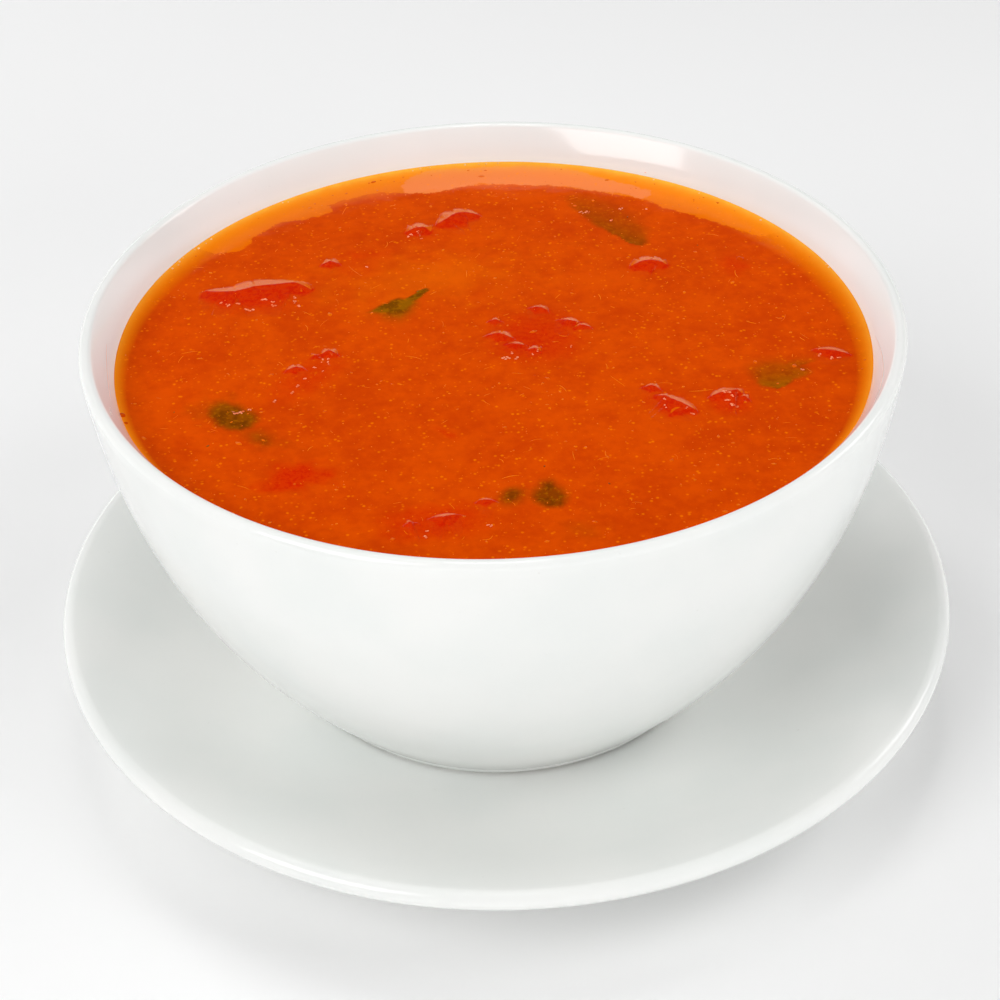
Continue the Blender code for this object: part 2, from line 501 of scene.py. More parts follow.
@dataclass
class Value:
    """A node's output, read in Python expressions: each operator adds a Math node."""

    graph: Graph
    socket: bpy.types.NodeSocket

    __add__, __radd__ = operator("ADD"), operator("ADD", swapped=True)
    __sub__, __rsub__ = operator("SUBTRACT"), operator("SUBTRACT", swapped=True)
    __mul__, __rmul__ = operator("MULTIPLY"), operator("MULTIPLY", swapped=True)

    def ramp(self, low: float, high: float) -> Value:
        """A soft ramp from 0 at low to 1 at high, falling where low is the higher one."""
        inputs = {"Value": self, "From Min": min(low, high), "From Max": max(low, high)}
        risen = self.graph.node("MapRange", "Result", inputs, interpolation_type="SMOOTHSTEP")
        return risen if low < high else 1 - risen


class Graph:
    """A node tree that is written as expressions."""

    def __init__(self, tree: bpy.types.NodeTree) -> None:
        """Starts from an empty tree."""
        self.tree = tree
        tree.nodes.clear()

    def node(
        self, kind: str, output: int | str | None, inputs: Mapping[int | str, Any] = EMPTY, **settings: Any
    ) -> Value | None:
        """Adds a node of any type.

        Args:
            kind: The node's type, without ShaderNode.
            output: The output that is wanted, by name or number.
            inputs: Values or constants for its sockets, by name or number.
            settings: Its properties, set first.

        Returns:
            The output, or None where none is wanted.
        """
        made = self.tree.nodes.new(f"ShaderNode{kind}")
        for label, setting in settings.items():
            setattr(made, label, setting)
        for key, given in inputs.items():
            socket = made.inputs[key]
            if isinstance(given, Value):
                self.tree.links.new(given.socket, socket)
            else:
                socket.default_value = (*given, 1.0) if socket.type == "RGBA" else given
        return None if output is None else Value(self, made.outputs[output])

    def place(self) -> Value:
        """The Object coordinates, in metres."""
        return self.node("TexCoord", "Object")

    def noise(self, size: float, detail: float, roughness: float = 0.5, shift: float = 0.0) -> Value:
        """Noise from 0 to 1 over the Object coordinates.

        Args:
            size: How far apart its lumps are, in metres.
            detail: How many finer layers it has.
            roughness: How strong those are.
            shift: How far along every axis it is moved, so that two noises differ.

        Returns:
            The noise.
        """
        moved = self.node("VectorMath", 0, {0: self.place(), 1: (shift,) * 3}, operation="ADD")
        inputs = {"Vector": moved, "Scale": 1 / size, "Detail": detail, "Roughness": roughness}
        return self.node("TexNoise", "Fac", inputs)

    def attribute(self, name: PointValue) -> Value:
        """A number kept at the mesh's points."""
        return self.node("Attribute", "Fac", attribute_name=name.value)

    def blend(self, share: Value, first: Value | Colour, second: Value | Colour) -> Value:
        """Two colours mixed, with this share of the second."""
        return self.node("Mix", 2, {"Factor": share, 6: first, 7: second}, data_type="RGBA")

    def bump(self, height: Value, distance: float, strength: float, under: Value | None = None) -> Value:
        """A normal bent by a height.

        Args:
            height: The height, from 0 to 1.
            distance: How high 1 is, in metres.
            strength: How much of it counts.
            under: A bump that this one lies on.

        Returns:
            The normal.
        """
        inputs = {"Height": height, "Distance": distance, "Strength": strength}
        if under is not None:
            inputs["Normal"] = under
        return self.node("Bump", "Normal", inputs)

    def surface(self, **inputs: Any) -> None:
        """A Principled BSDF with these inputs, underscores for spaces, as the tree's surface."""
        named = {label.replace("_", " "): given for label, given in inputs.items()}
        self.node("OutputMaterial", None, {"Surface": self.node("BsdfPrincipled", "BSDF", named)})


def new_material(name: str) -> tuple[bpy.types.Material, Graph]:
    """A material and the graph that it is written in."""
    material = bpy.data.materials.new(name)
    material.use_nodes = True
    return material, Graph(material.node_tree)


@dataclass(frozen=True)
class Glaze:
    """White porcelain under a clear glaze, bare where it stands.

    Attributes:
        body: The glazed colour.
        shade: The colour where the glaze lies thicker.
        bisque: The bare clay's colour.
        bare_height: The level under which a foot is left bare.
    """

    body: Colour = (0.90, 0.905, 0.885)
    shade: Colour = (0.855, 0.875, 0.855)
    bisque: Colour = (0.72, 0.69, 0.64)
    bare_height: float = 0.35 * MM

    def material(self, name: str, foot: float) -> bpy.types.Material:
        """Makes the material of one dish.

        Args:
            name: The material's name.
            foot: The height of the dish's foot.

        Returns:
            The material.
        """
        material, graph = new_material(name)
        thick = graph.noise(size=24 * MM, detail=2, shift=0.31)
        pits = graph.noise(size=1.1 * MM, detail=1, shift=0.7).ramp(0.78, 0.86)
        height = graph.node("SeparateXYZ", "Z", {"Vector": graph.place()})
        bare = height.ramp(foot + self.bare_height, foot + self.bare_height / 2)
        glazed = graph.blend(thick.ramp(0.3, 0.75), self.body, self.shade)
        speckled = graph.blend(pits * 0.25, glazed, (0.62, 0.60, 0.56))
        flow = graph.bump(graph.noise(size=14 * MM, detail=1), 0.03 * MM, 0.35)
        normal = graph.bump(pits, -0.01 * MM, 0.4, flow)
        graph.surface(
            Base_Color=graph.blend(bare, speckled, self.bisque),
            Roughness=0.085 + 0.05 * thick + 0.5 * bare,
            IOR=1.5,
            Normal=normal,
        )
        return material


class PointValue(Enum):
    """Values at a mesh's points: what is wet with soup reads the first seven."""

    TOMATO = "tomato"
    LEAF = "leaf"
    OLIVE = "olive"
    # thin soup at the wall, with painted light that is stronger on the bright side
    FILM_AND_PAINTED_LIGHT = "film"
    # paler soup: painted light near the wall, painted sheen on the dice, and a paler patch
    PALE_AND_PAINTED_LIGHT = "pale"
    # painted light from the wall on the soup
    PAINTED_WALL_LIGHT = "patch"
    # a painted reflection of the wall in the soup's surface
    PAINTED_REFLECTION = "mirror"
    TINT = "tint"


@dataclass(frozen=True)
class WetFinish:
    """Soup, and whatever shows through a film of it.

    One chain of colours serves the soup, the tomato and the leaves, driven by values at their
    points, so that nothing changes where one goes under the other.

    Attributes:
        deep, light, pale: The soup's darker, lighter and palest orange.
        painted_reflection_salmon: The soup's colour under a painted reflection of the wall behind it.
        flesh, core: Tomato under a film of soup, and painted shade in creases that noise draws.
        leaf, olive, vein, shade: A brown leaf's blade, a green one's, their ribs, and painted shade in their
            folds.
        thin: Soup so thin that the white wall shows through, with painted light on the bright side.
        tint: What its mirrored light is tinted with.
        ior: Its index of refraction.
    """

    deep: Colour = (0.60, 0.048, 0.0)
    light: Colour = (0.72, 0.074, 0.0)
    pale: Colour = (1.0, 0.24, 0.0)
    painted_reflection_salmon: Colour = (0.91, 0.225, 0.055)
    flesh: Colour = (0.655, 0.029, 0.0)
    crease_shade: Colour = (0.60, 0.014, 0.0)
    leaf: Colour = (0.26, 0.045, 0.0)
    olive: Colour = (0.30, 0.115, 0.0)
    vein: Colour = (0.44, 0.13, 0.0)
    shade: Colour = (0.12, 0.025, 0.0)
    thin: Colour = (1.0, 0.48, 0.05)
    tint: Colour = (1.0, 0.7, 0.12)
    ior: float = 1.15

    def soup_colour(self, graph: Graph) -> Value:
        """The soup's own colour: slow swirls, lumps, a fine grain of pulp, and the wall's painted light."""
        swirl = graph.noise(size=11 * MM, detail=3, roughness=0.6)
        lumps = graph.noise(size=2.4 * MM, detail=3, roughness=0.65, shift=0.2)
        tone = swirl * 0.55 + lumps * 0.45
        orange = graph.blend(tone.ramp(0.34, 0.66), self.deep, self.light)
        ragged = (graph.noise(size=1.8 * MM, detail=4, roughness=0.75, shift=0.7) - 0.5) * 0.8
        # Painted light from the wall, inside its outline.
        patch = (graph.attribute(PointValue.PAINTED_WALL_LIGHT) + ragged).ramp(0.43, 0.57)
        # Pale soup with painted light from the wall and painted sheen on the dice.
        pale = 1 - (1 - graph.attribute(PointValue.PALE_AND_PAINTED_LIGHT)) * (1 - 0.5 * patch)
        palest = graph.blend(pale, orange, self.pale)
        # Painted reflection of the wall, in salmon, inside its outline.
        mirror = (graph.attribute(PointValue.PAINTED_REFLECTION) + ragged).ramp(0.40, 0.60)
        painted_reflection_salmon = graph.blend(0.9 * mirror, palest, self.painted_reflection_salmon)
        grain = graph.node("TexVoronoi", "Distance", {"Vector": graph.place(), "Scale": 1 / (1.05 * MM)})
        chosen = graph.noise(size=1.9 * MM, detail=1, shift=0.5).ramp(0.46, 0.66)
        return graph.blend(grain.ramp(0.36, 0.10) * chosen * 0.55, painted_reflection_salmon, self.pale)

    def colour(self, graph: Graph) -> Value:
        """The soup's colour, then tomato, leaf and thin soup with painted light over it by their values."""
        # Darker red where noise draws creases: painted shade.
        creases = graph.noise(size=0.9 * MM, detail=3, roughness=0.7, shift=0.9)
        flesh = graph.blend(creases.ramp(0.56, 0.38), self.flesh, self.crease_shade)
        patchy = graph.noise(size=1.7 * MM, detail=3, roughness=0.7, shift=0.4)
        tomato = (graph.attribute(PointValue.TOMATO) * 1.3 + patchy * 0.5 - 0.4).ramp(0.0, 0.9)
        soup = graph.blend(tomato, self.soup_colour(graph), flesh)
        ribs = graph.noise(size=0.8 * MM, detail=3, roughness=0.6, shift=0.6).ramp(0.52, 0.66)
        # Darker where noise draws folds in the blade: painted shade.
        folds = graph.noise(size=2.6 * MM, detail=3, roughness=0.6, shift=0.1).ramp(0.44, 0.62)
        green = graph.blend(graph.attribute(PointValue.OLIVE), self.leaf, self.olive)
        blade = graph.blend(ribs * 0.5, graph.blend(folds * 0.6, green, self.shade), self.vein)
        leafy = graph.blend(graph.attribute(PointValue.LEAF), soup, blade)
        ragged = graph.noise(size=2.2 * MM, detail=2, shift=0.8)
        # Thin soup at the wall, with painted light that is stronger on the bright side.
        film = graph.attribute(PointValue.FILM_AND_PAINTED_LIGHT) * (0.6 + 0.8 * ragged)
        return graph.blend(film, leafy, self.thin)

    def material(self, name: str) -> bpy.types.Material:
        """Makes the material.

        Args:
            name: The material's name.

        Returns:
            The material.
        """
        material, graph = new_material(name)
        tomato = graph.attribute(PointValue.TOMATO)
        pulp = graph.bump(graph.noise(size=1.3 * MM, detail=3, roughness=0.6), 0.022 * MM, 0.5)
        grain = graph.noise(size=0.5 * MM, detail=2, roughness=0.7, shift=0.3)
        normal = graph.bump(grain * (0.2 + 0.4 * tomato), 0.03 * MM, 0.4, pulp)
        graph.surface(
            Base_Color=self.colour(graph),
            Roughness=0.10 - 0.02 * tomato + 0.05 * grain,
            IOR=self.ior,
            Specular_Tint=self.tint,
            Normal=normal,
        )
        return material


@dataclass(frozen=True)
class Pulp:
    """A kind of small things, such as specks, each of its own tint between two.

    Attributes:
        name: The piece's name, and its material's.
        dull, bright: The two tints.
        slot: The record's slot.
        rounding: How many times its faces are divided and rounded.
    """

    name: str
    dull: Colour
    bright: Colour
    slot: Slot = Slot.SOUP
    rounding: int = 0

    def material(self) -> bpy.types.Material:
        """Makes the material, which reads each lump's own tint at its points."""
        material, graph = new_material(self.name)
        mottle = graph.noise(size=0.5 * MM, detail=2)
        tint = graph.attribute(PointValue.TINT) * 0.8 + mottle * 0.3
        normal = graph.bump(mottle, 0.03 * MM, 0.4)
        graph.surface(
            Base_Color=graph.blend(tint, self.dull, self.bright),
            Roughness=0.4 + 0.15 * mottle,
            IOR=1.3,
            Specular_Tint=WetFinish.tint,
            Normal=normal,
        )
        return material

    def add(self, parts: MeshParts, tint: Array) -> None:
        """Makes the piece.

        Args:
            parts: Its mesh, in place, with equally many points for each tint.
            tint: Tints from 0 to 1.
        """
        parts.values[PointValue.TINT] = np.repeat(tint, len(parts.points) // len(tint))
        add_piece(self.name, parts, self.material(), self.slot, rounding=self.rounding)


@dataclass
class Dish:
    """A turned porcelain dish, in the place of its node.

    Attributes:
        node: The frame's node that it stands for.
        steps: Angles in a full turn.
        wobble: How far the wheel left it out of round.
    """

    node: str
    steps: int = 288
    wobble: float = 0.05 * MM

    def __post_init__(self) -> None:
        """Reads the dish's place and outer size from the frame."""
        low, high = (np.array(corner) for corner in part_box(self.node))
        self.axis = (low[:2] + high[:2]) / 2
        self.foot = low[2]
        self.radius = (high[0] - low[0]) / 2
        self.top = high[2] - low[2]

    def outline(self) -> Array:
        """The dish's (radius, height) outline from its foot's level; each dish has its own."""
        raise NotImplementedError

    def build(self) -> None:
        """Turns the outline and puts the dish in its place.

        The radius is stretched by wobble cos(2a) at the angle a, so that it is a little oval.
        """
        parts = turned_solid(self.outline(), self.steps)
        angle = np.arctan2(parts.points[:, 1], parts.points[:, 0])
        stretch = 1 + self.wobble / self.radius * np.cos(2 * angle + self.radius / MM)
        parts.points[:, :2] *= stretch[:, None]
        parts.points += [*self.axis, self.foot]
        finish = Glaze().material(f"{self.node}_glaze", self.foot)
        add_piece(f"{self.node}_porcelain", parts, finish, Slot.PORCELAIN, [self.node])


@dataclass
class Saucer(Dish):
    """A shallow saucer: a level well, a dish that rises to a rolled edge, and a foot ring.

    Attributes:
        lip: The rolled edge's radius.
        well_radius, well_height: The well's size.
        wall_rise: How steeply the dish meets its edge.
        well_pull, rise_pull: How far the dish keeps level, and how far to that slope.
        thickness: Its thickness in the well.
        under_pull: How far the underside keeps level at the foot.
        foot_inner, foot_outer, foot_round: The foot ring's radii, and its corners' radius.
    """

    node: str = "saucer"
    lip: float = 1.7 * MM
    well_radius: float = 41.0 * MM
    well_height: float = 7.5 * MM
    wall_rise: float = math.radians(24)
    well_pull: float = 16.0 * MM
    rise_pull: float = 14.0 * MM
    thickness: float = 4.2 * MM
    under_pull: float = 12.0 * MM
    foot_inner: float = 41.0 * MM
    foot_outer: float = 45.0 * MM
    foot_round: float = 1.2 * MM

    def outline(self) -> Array:
        """The well, the rising dish, the rolled edge, the underside and the foot ring.

        Returns:
            (radius, height) points from the axis back to it.
        """
        side = math.pi / 2 + self.wall_rise
        rolled = arc((self.radius - self.lip, self.top - self.lip), self.lip, side, side - math.pi, 20)
        well = np.stack([np.linspace(0.0, self.well_radius, 8), np.full(8, self.well_height)], 1)
        back = math.pi + self.wall_rise
        dish = bezier((well[-1], 0.0, self.well_pull), (rolled[0], back, self.rise_pull), 40)
        ceiling = self.well_height - self.thickness
        neck = (self.foot_outer + self.foot_round, ceiling)
        under = bezier((rolled[-1], back, self.well_pull), (neck, 0.0, self.under_pull), 26)
        edge, down = self.foot_round, -math.pi / 2
        outer_foot = arc((self.foot_outer - edge, edge), edge, 0.0, down, 7)
        inner_foot = arc((self.foot_inner + edge, edge), edge, down, 2 * down, 7)
        inside = np.array([[self.foot_inner - self.foot_round, ceiling], [0.0, ceiling]])
        return np.concatenate([well, dish[1:], rolled[1:], under[1:], outer_foot, inner_foot, inside])


@dataclass
class Bowl(Dish):
    """A deep bowl with a thick wall: rounded lip, curved side, low foot ring and level floor.

    Attributes:
        lip, lip_slope: The lip's radius, and how steeply the inner wall leaves it.
        top_lean, top_pull: The outer wall's lean at the lip, and how far it keeps to it.
        base_radius, base_edge: The foot's radius, and its edge's rounding.
        base_lean, base_pull: The outer wall's lean at the foot, and how far it keeps to it.
        foot_ring, recess: The standing ring's width, and the depth of the hollow in it.
        shoulder, shoulder_lean: Where the inner wall turns down, and its lean there.
        shoulder_pulls: How far it keeps to the lip's slope and to that lean above it.
        inner_pull, floor_pull: How far it keeps to that lean and to the floor below it.
        floor: The floor's radius and height.
    """

    node: str = "bowl"
    lip: float = 1.2 * MM
    top_lean: float = math.radians(5.4)
    top_pull: float = 37.3 * MM
    base_radius: float = 39.9 * MM
    base_edge: float = 1.2 * MM
    base_lean: float = math.radians(40)
    base_pull: float = 18.2 * MM
    foot_ring: float = 5.0 * MM
    recess: float = 1.2 * MM
    lip_slope: float = math.radians(34)
    shoulder: tuple[float, float] = (64.2 * MM, 62.7 * MM)
    shoulder_lean: float = math.radians(11)
    shoulder_pulls: tuple[float, float] = (4.5 * MM, 3.0 * MM)
    inner_pull: float = 34.0 * MM
    floor: tuple[float, float] = (20.0 * MM, 6.4 * MM)
    floor_pull: float = 24.0 * MM

    def inner_wall(self) -> Array:
        """The inside of the bowl: from the lip in to the shoulder, then down to the floor.

        Returns:
            (radius, height) points, the highest first.
        """
        side = math.pi - self.lip_slope
        start = arc((self.radius - self.lip, self.top - self.lip), self.lip, side, side, 1)[0]
        down, up = -math.pi / 2, math.pi / 2
        lean, (first_pull, second_pull) = self.shoulder_lean, self.shoulder_pulls
        above = (start, down - self.lip_slope, first_pull)
        upper = bezier(above, (self.shoulder, up - lean, second_pull), 16)
        lower = bezier((self.shoulder, down - lean, self.inner_pull), (self.floor, 0.0, self.floor_pull), 40)
        return np.concatenate([upper, lower[1:]])

    def wall_radius(self, height: float | Array) -> float | Array:
        """The inner wall's radius at heights above the bowl's foot."""
        wall = self.inner_wall()[::-1]
        return np.interp(height, wall[:, 1], wall[:, 0])

    def outline(self) -> Array:
        """The floor, the inner wall, the lip, the outer wall and the foot ring.

        Returns:
            (radius, height) points from the axis back to it.
        """
        middle = (self.radius - self.lip, self.top - self.lip)
        lip = arc(middle, self.lip, math.pi - self.lip_slope, 0.0, 18)
        base = (self.base_radius, self.base_edge)
        below = (lip[-1], -math.pi / 2 - self.top_lean, self.top_pull)
        wall = bezier(below, (base, math.pi / 2 - self.base_lean, self.base_pull), 56)
        middle = (self.base_radius - self.base_edge, self.base_edge)
        edge = arc(middle, self.base_edge, -math.pi / 6, -math.pi / 2, 8)
        ring = self.base_radius - self.base_edge - self.foot_ring
        hollow = np.array([[ring, 0.0], [ring - self.recess, self.recess], [0.0, self.recess]])
        centre = np.array([[0.0, self.floor[1]]])
        return np.concatenate([centre, self.inner_wall()[::-1], lip[1:], wall[1:], edge, hollow])


@dataclass(frozen=True)
class Ridge:
    """A raised edge: its far side falls evenly and steeply enough to mirror the surroundings.

    Attributes:
        height: How high its crest is, in millimetres.
        far: How far its far side takes to fall to nothing, in millimetres.
        near: How far its near side takes, in millimetres.
        crest: Its crest from left to right, as spots reads it, from the bowl's axis.
    """

    height: float
    far: float
    near: float
    crest: Row

    UNDERCUT = 3.0  # times as steep below nothing, on the far side
    TAPER = 0.4  # of its length, over which it gains its full height from either end
    END_SLOPE = 0.35  # the slope at which it falls beyond its ends

    def place(self, plan: Array) -> tuple[Array, Array, Array]:
        """Where places lie along and across the crest.

        Args:
            plan: The places from the bowl's axis.

        Returns:
            The distance to its far side, the distance beyond its ends, and the share of the way
            from its nearer end to where it has its full height.
        """
        points = np.reshape(self.crest, (-1, 2)) * MM
        lengths = np.linalg.norm(np.diff(points, axis=0), axis=1)
        nearest, side, run = np.full(plan.shape, np.inf), np.zeros(plan.shape), np.zeros(plan.shape)
        for start, end, length, passed in zip(points, points[1:], lengths, np.cumsum(lengths) - lengths):
            way = (end - start) / length
            from_x, from_y = plan.real - start[0], plan.imag - start[1]
            along = np.clip(from_x * way[0] + from_y * way[1], 0.0, length)
            off_x, off_y = from_x - along * way[0], from_y - along * way[1]
            distance = np.hypot(off_x, off_y) + TINY
            closer = distance < nearest
            side = np.where(closer, (way[0] * off_y - way[1] * off_x) / distance, side)
            run = np.where(closer, passed + along, run)
            nearest = np.minimum(distance, nearest)
        beyond = nearest * np.sqrt(np.maximum(1 - side**2, 0.0))
        whole = lengths.sum()
        return nearest * side, beyond, np.minimum(run, whole - run) / (self.TAPER * whole)

    def rise(self, plan: Array, lumps: Array | float = 0.0) -> Array:
        """Its height at places from the bowl's axis, negative outside it.

        Its crest's height is h = height s^(1/2), s the share of the way from its end, less an
        even fall beyond the ends. It is h - height d / far at d to the far side and
        h - height d / near + lumps at d to the near one, whichever is lower; the lumps so fray
        the crest and leave the far side smooth.

        Args:
            plan: The places.
            lumps: What is added on the near side.

        Returns:
            The height at each place.
        """
        across, beyond, share = self.place(plan)
        crest = self.height * MM * np.clip(share, 0.04, 1.0) ** 0.5 - self.END_SLOPE * beyond
        far_side = crest - self.height / self.far * across
        near_side = crest + self.height / self.near * across + lumps
        return np.minimum(np.where(far_side < 0, self.UNDERCUT * far_side, far_side), near_side)

    def redness(self, plan: Array) -> Array:
        """How red the soup is round it: e^-(d / reach)^3 on its near side, less at its ends and on its
        far side, which carries painted sheen.

        Args:
            plan: The places.

        Returns:
            The redness at each place, from 0 to 1.
        """
        across, beyond, share = self.place(plan)
        reach = self.near * MM * (0.4 + 0.6 * np.clip(share, 0.0, 1.0))
        near = np.maximum(-across / reach, 0.0)
        far = np.maximum(across / MM, 0.0) / (0.15 + 0.25 * self.far)
        return np.exp(-(near**3) - far**2 - (beyond / (0.9 * MM)) ** 2)

    def painted_sheen(self, plan: Array) -> Array:
        """Painted sheen on its far side, over the real one, as paleness from 0 to 1."""
        across = self.place(plan)[0]
        return smooth_step(0.0, 0.08 * MM, self.rise(plan)) * smooth_step(0.0, 0.3 * MM, across)


@dataclass(frozen=True)
class TomatoDie:
    """A soft block of cooked tomato, sunk but for the ridges that break the surface.

    Attributes:
        number: The number in its node's name.
        length, width: Its sunk body's size in plan, in millimetres.
        turn: Its length's angle from X, in degrees.
        sunk: How far under the surface its body lies, in millimetres.
        ridges: The ridges on it.
        beads: The x, y and half length of each of its pale beads, which are painted highlights, in a
        row, in millimetres from the bowl's axis.
    """

    number: int
    length: float
    width: float
    turn: float
    sunk: float
    ridges: tuple[Ridge, ...]
    beads: Row = ()

    SQUARE = 2.7  # the power n of its outline |u|^n + |v|^n = 1, between a disc and a square
    DEPTH = 1.0 * MM  # how much deeper its body's border lies than its middle
    LIMIT = 3.0 * MM  # how high the dome is that it stays under
    ROOM = 1.3  # the share of its half size at which it falls away
    FADE = 0.75  # the depth, in millimetres, at which it shows by 1/e through the soup

    @property
    def node(self) -> str:
        """The frame's node that it stands for."""
        return f"tomato_die_{self.number:02d}"

    def share(self, plan: Array, middle: complex) -> Array:
        """|u|^n + |v|^n, u and v the shares of its half length and half width from its middle."""
        own = turned(plan - middle, -self.turn)
        u, v = own.real / (self.length * MM / 2), own.imag / (self.width * MM / 2)
        return np.abs(u) ** self.SQUARE + np.abs(v) ** self.SQUARE

    def rise(self, plan: Array, middle: complex) -> Array:
        """The height of its upper side above the soup's level: its body and its ridges.

        The body sinks by depth r^3 at the share r of the way out. Outside its room the die falls
        away.

        Args:
            plan: The places from the bowl's axis.
            middle: Its own middle.

        Returns:
            The height at each place, negative where it is under the soup.
        """
        lumps = 0.09 * MM * Noise(self.number).layered(plan, 2.6 * MM, 2)
        frays = lumps + 0.05 * MM * Noise(self.number + 40).creased(plan, 1.1 * MM)
        share = self.share(plan, middle)
        body = 0.5 * lumps - self.sunk * MM - self.DEPTH * share ** (3 / self.SQUARE)
        found = np.max([body, *(ridge.rise(plan, frays) for ridge in self.ridges)], axis=0)
        return np.minimum(found, self.LIMIT * (1 - share / self.ROOM**self.SQUARE) - self.DEPTH / 2)

    def redness(self, plan: Array, middle: complex) -> Array:
        """How red the soup is over it: round its ridges, and by e^-r^3 over its body, less under painted
        sheen.

        Args:
            plan: The places from the bowl's axis.
            middle: Its own middle.

        Returns:
            The redness at each place, from 0 to 1.
        """
        body = np.exp(-self.sunk / self.FADE - self.share(plan, middle) ** (3 / self.SQUARE))
        red = np.max([body, *(ridge.redness(plan) for ridge in self.ridges)], axis=0)
        # Painted sheen takes the place of red on the ridges' far sides.
        return red * (1 - self.painted_sheen(plan))

    def painted_sheen(self, plan: Array) -> Array:
        """The painted sheen on the far sides of its ridges, as paleness."""
        return np.max([ridge.painted_sheen(plan) for ridge in self.ridges], axis=0)


@dataclass(frozen=True)
class Leaf:
    """A limp herb leaf that lies aslant in the soup: one side at its surface, the other sunk.

    Attributes:
        name: Its piece's name.
        outline: Its edge, as spots reads it, from the bowl's axis.
        sinks: The direction in which it goes under, in degrees from X.
        depths: How deep its highest and its lowest edge lie, in millimetres.
        shows: How strongly it shows through the soup.
        olive: How green it is, rather than brown.
        seed: What its ragged edge is drawn from.
        beads: Its pale beads, painted highlights, as a die's.
    """

    name: str
    outline: Row
    sinks: float
    depths: tuple[float, float]
    shows: float
    olive: float
    seed: int
    beads: Row = ()

    PROUD = 0.03 * MM  # how far it stands out of the soup where it floats
    RAGGED = 0.06  # how far its edge wanders, as a share of the way from its middle

    @property
    def middle(self) -> complex:
        """The middle of its outline, from the bowl's axis."""
        return spots(self.outline).mean()

    def edge(self, plan: Array) -> Array:
        """How far its ragged edge is from its middle, in the direction of each place.

        Args:
            plan: The places from the bowl's axis.

        Returns:
            The distance for each place.
        """
        corners = spots(self.outline) - self.middle
        angle = np.angle(plan - self.middle)
        reach = np.interp(angle, np.angle(corners), np.abs(corners), period=math.tau)
        return reach * (1 + self.RAGGED * Noise(self.seed).layered(np.exp(1j * angle), 0.25, 3))

    def under(self, plan: Array) -> Array:
        """How deep its blade lies: evenly deeper one way, and a little cockled.

        Args:
            plan: The places from the bowl's axis.

        Returns:
            The depth at each place.
        """
        across = turned(spots(self.outline), -self.sinks).real
        share = (turned(plan, -self.sinks).real - across.min()) / np.ptp(across)
        high, low = self.depths
        cockle = 0.05 * MM * Noise(self.seed + 7).layered(plan, 2.2 * MM, 2)
        return (high + (low - high) * share) * MM + cockle

    def lie(self, plan: Array) -> Array:
        """Its height above the soup's surface: a film's thickness where it floats."""
        return np.minimum(self.PROUD, -self.under(plan))

    def tint(self, plan: Array) -> Array:
        """How strongly it shows through the soup, from 0 to 1: less with depth, and blurred.

        Args:
            plan: The places from the bowl's axis.

        Returns:
            The share at each place.
        """
        under = np.maximum(self.under(plan), 0.0)
        inside = self.edge(plan) - np.abs(plan - self.middle)
        blur = 0.2 * MM + 1.7 * under
        shown = self.shows * smooth_step(-1.0, 1.0, inside / blur) * np.exp(-under / (2.0 * MM))
        return np.minimum(shown, 1.0)


@dataclass(frozen=True)
class Shadow:
    """Something that shows only as a soft patch through the soup, measured in millimetres.

    Attributes:
        value: What it looks like.
        x, y: Its middle, from the bowl's axis.
        length, width: Its size.
        turn: Its length's angle from X, in degrees.
        strength: How strongly it shows.
    """

    value: PointValue
    x: float
    y: float
    length: float
    width: float
    turn: float
    strength: float

    def tint(self, plan: Array) -> Array:
        """Its strength at each place, falling as exp(-r^2) with ragged sides.

        Args:
            plan: The places from the bowl's axis.

        Returns:
            The strength at each place.
        """
        own = turned(plan / MM - complex(self.x, self.y), -self.turn)
        ragged = 1 + 0.45 * Noise(int(abs(self.x) * 7)).layered(plan, 3.5 * MM, 3)
        share = np.hypot(own.real / (self.length / 2), own.imag / (self.width / 2)) * ragged
        return self.strength * np.exp(-(share**2))


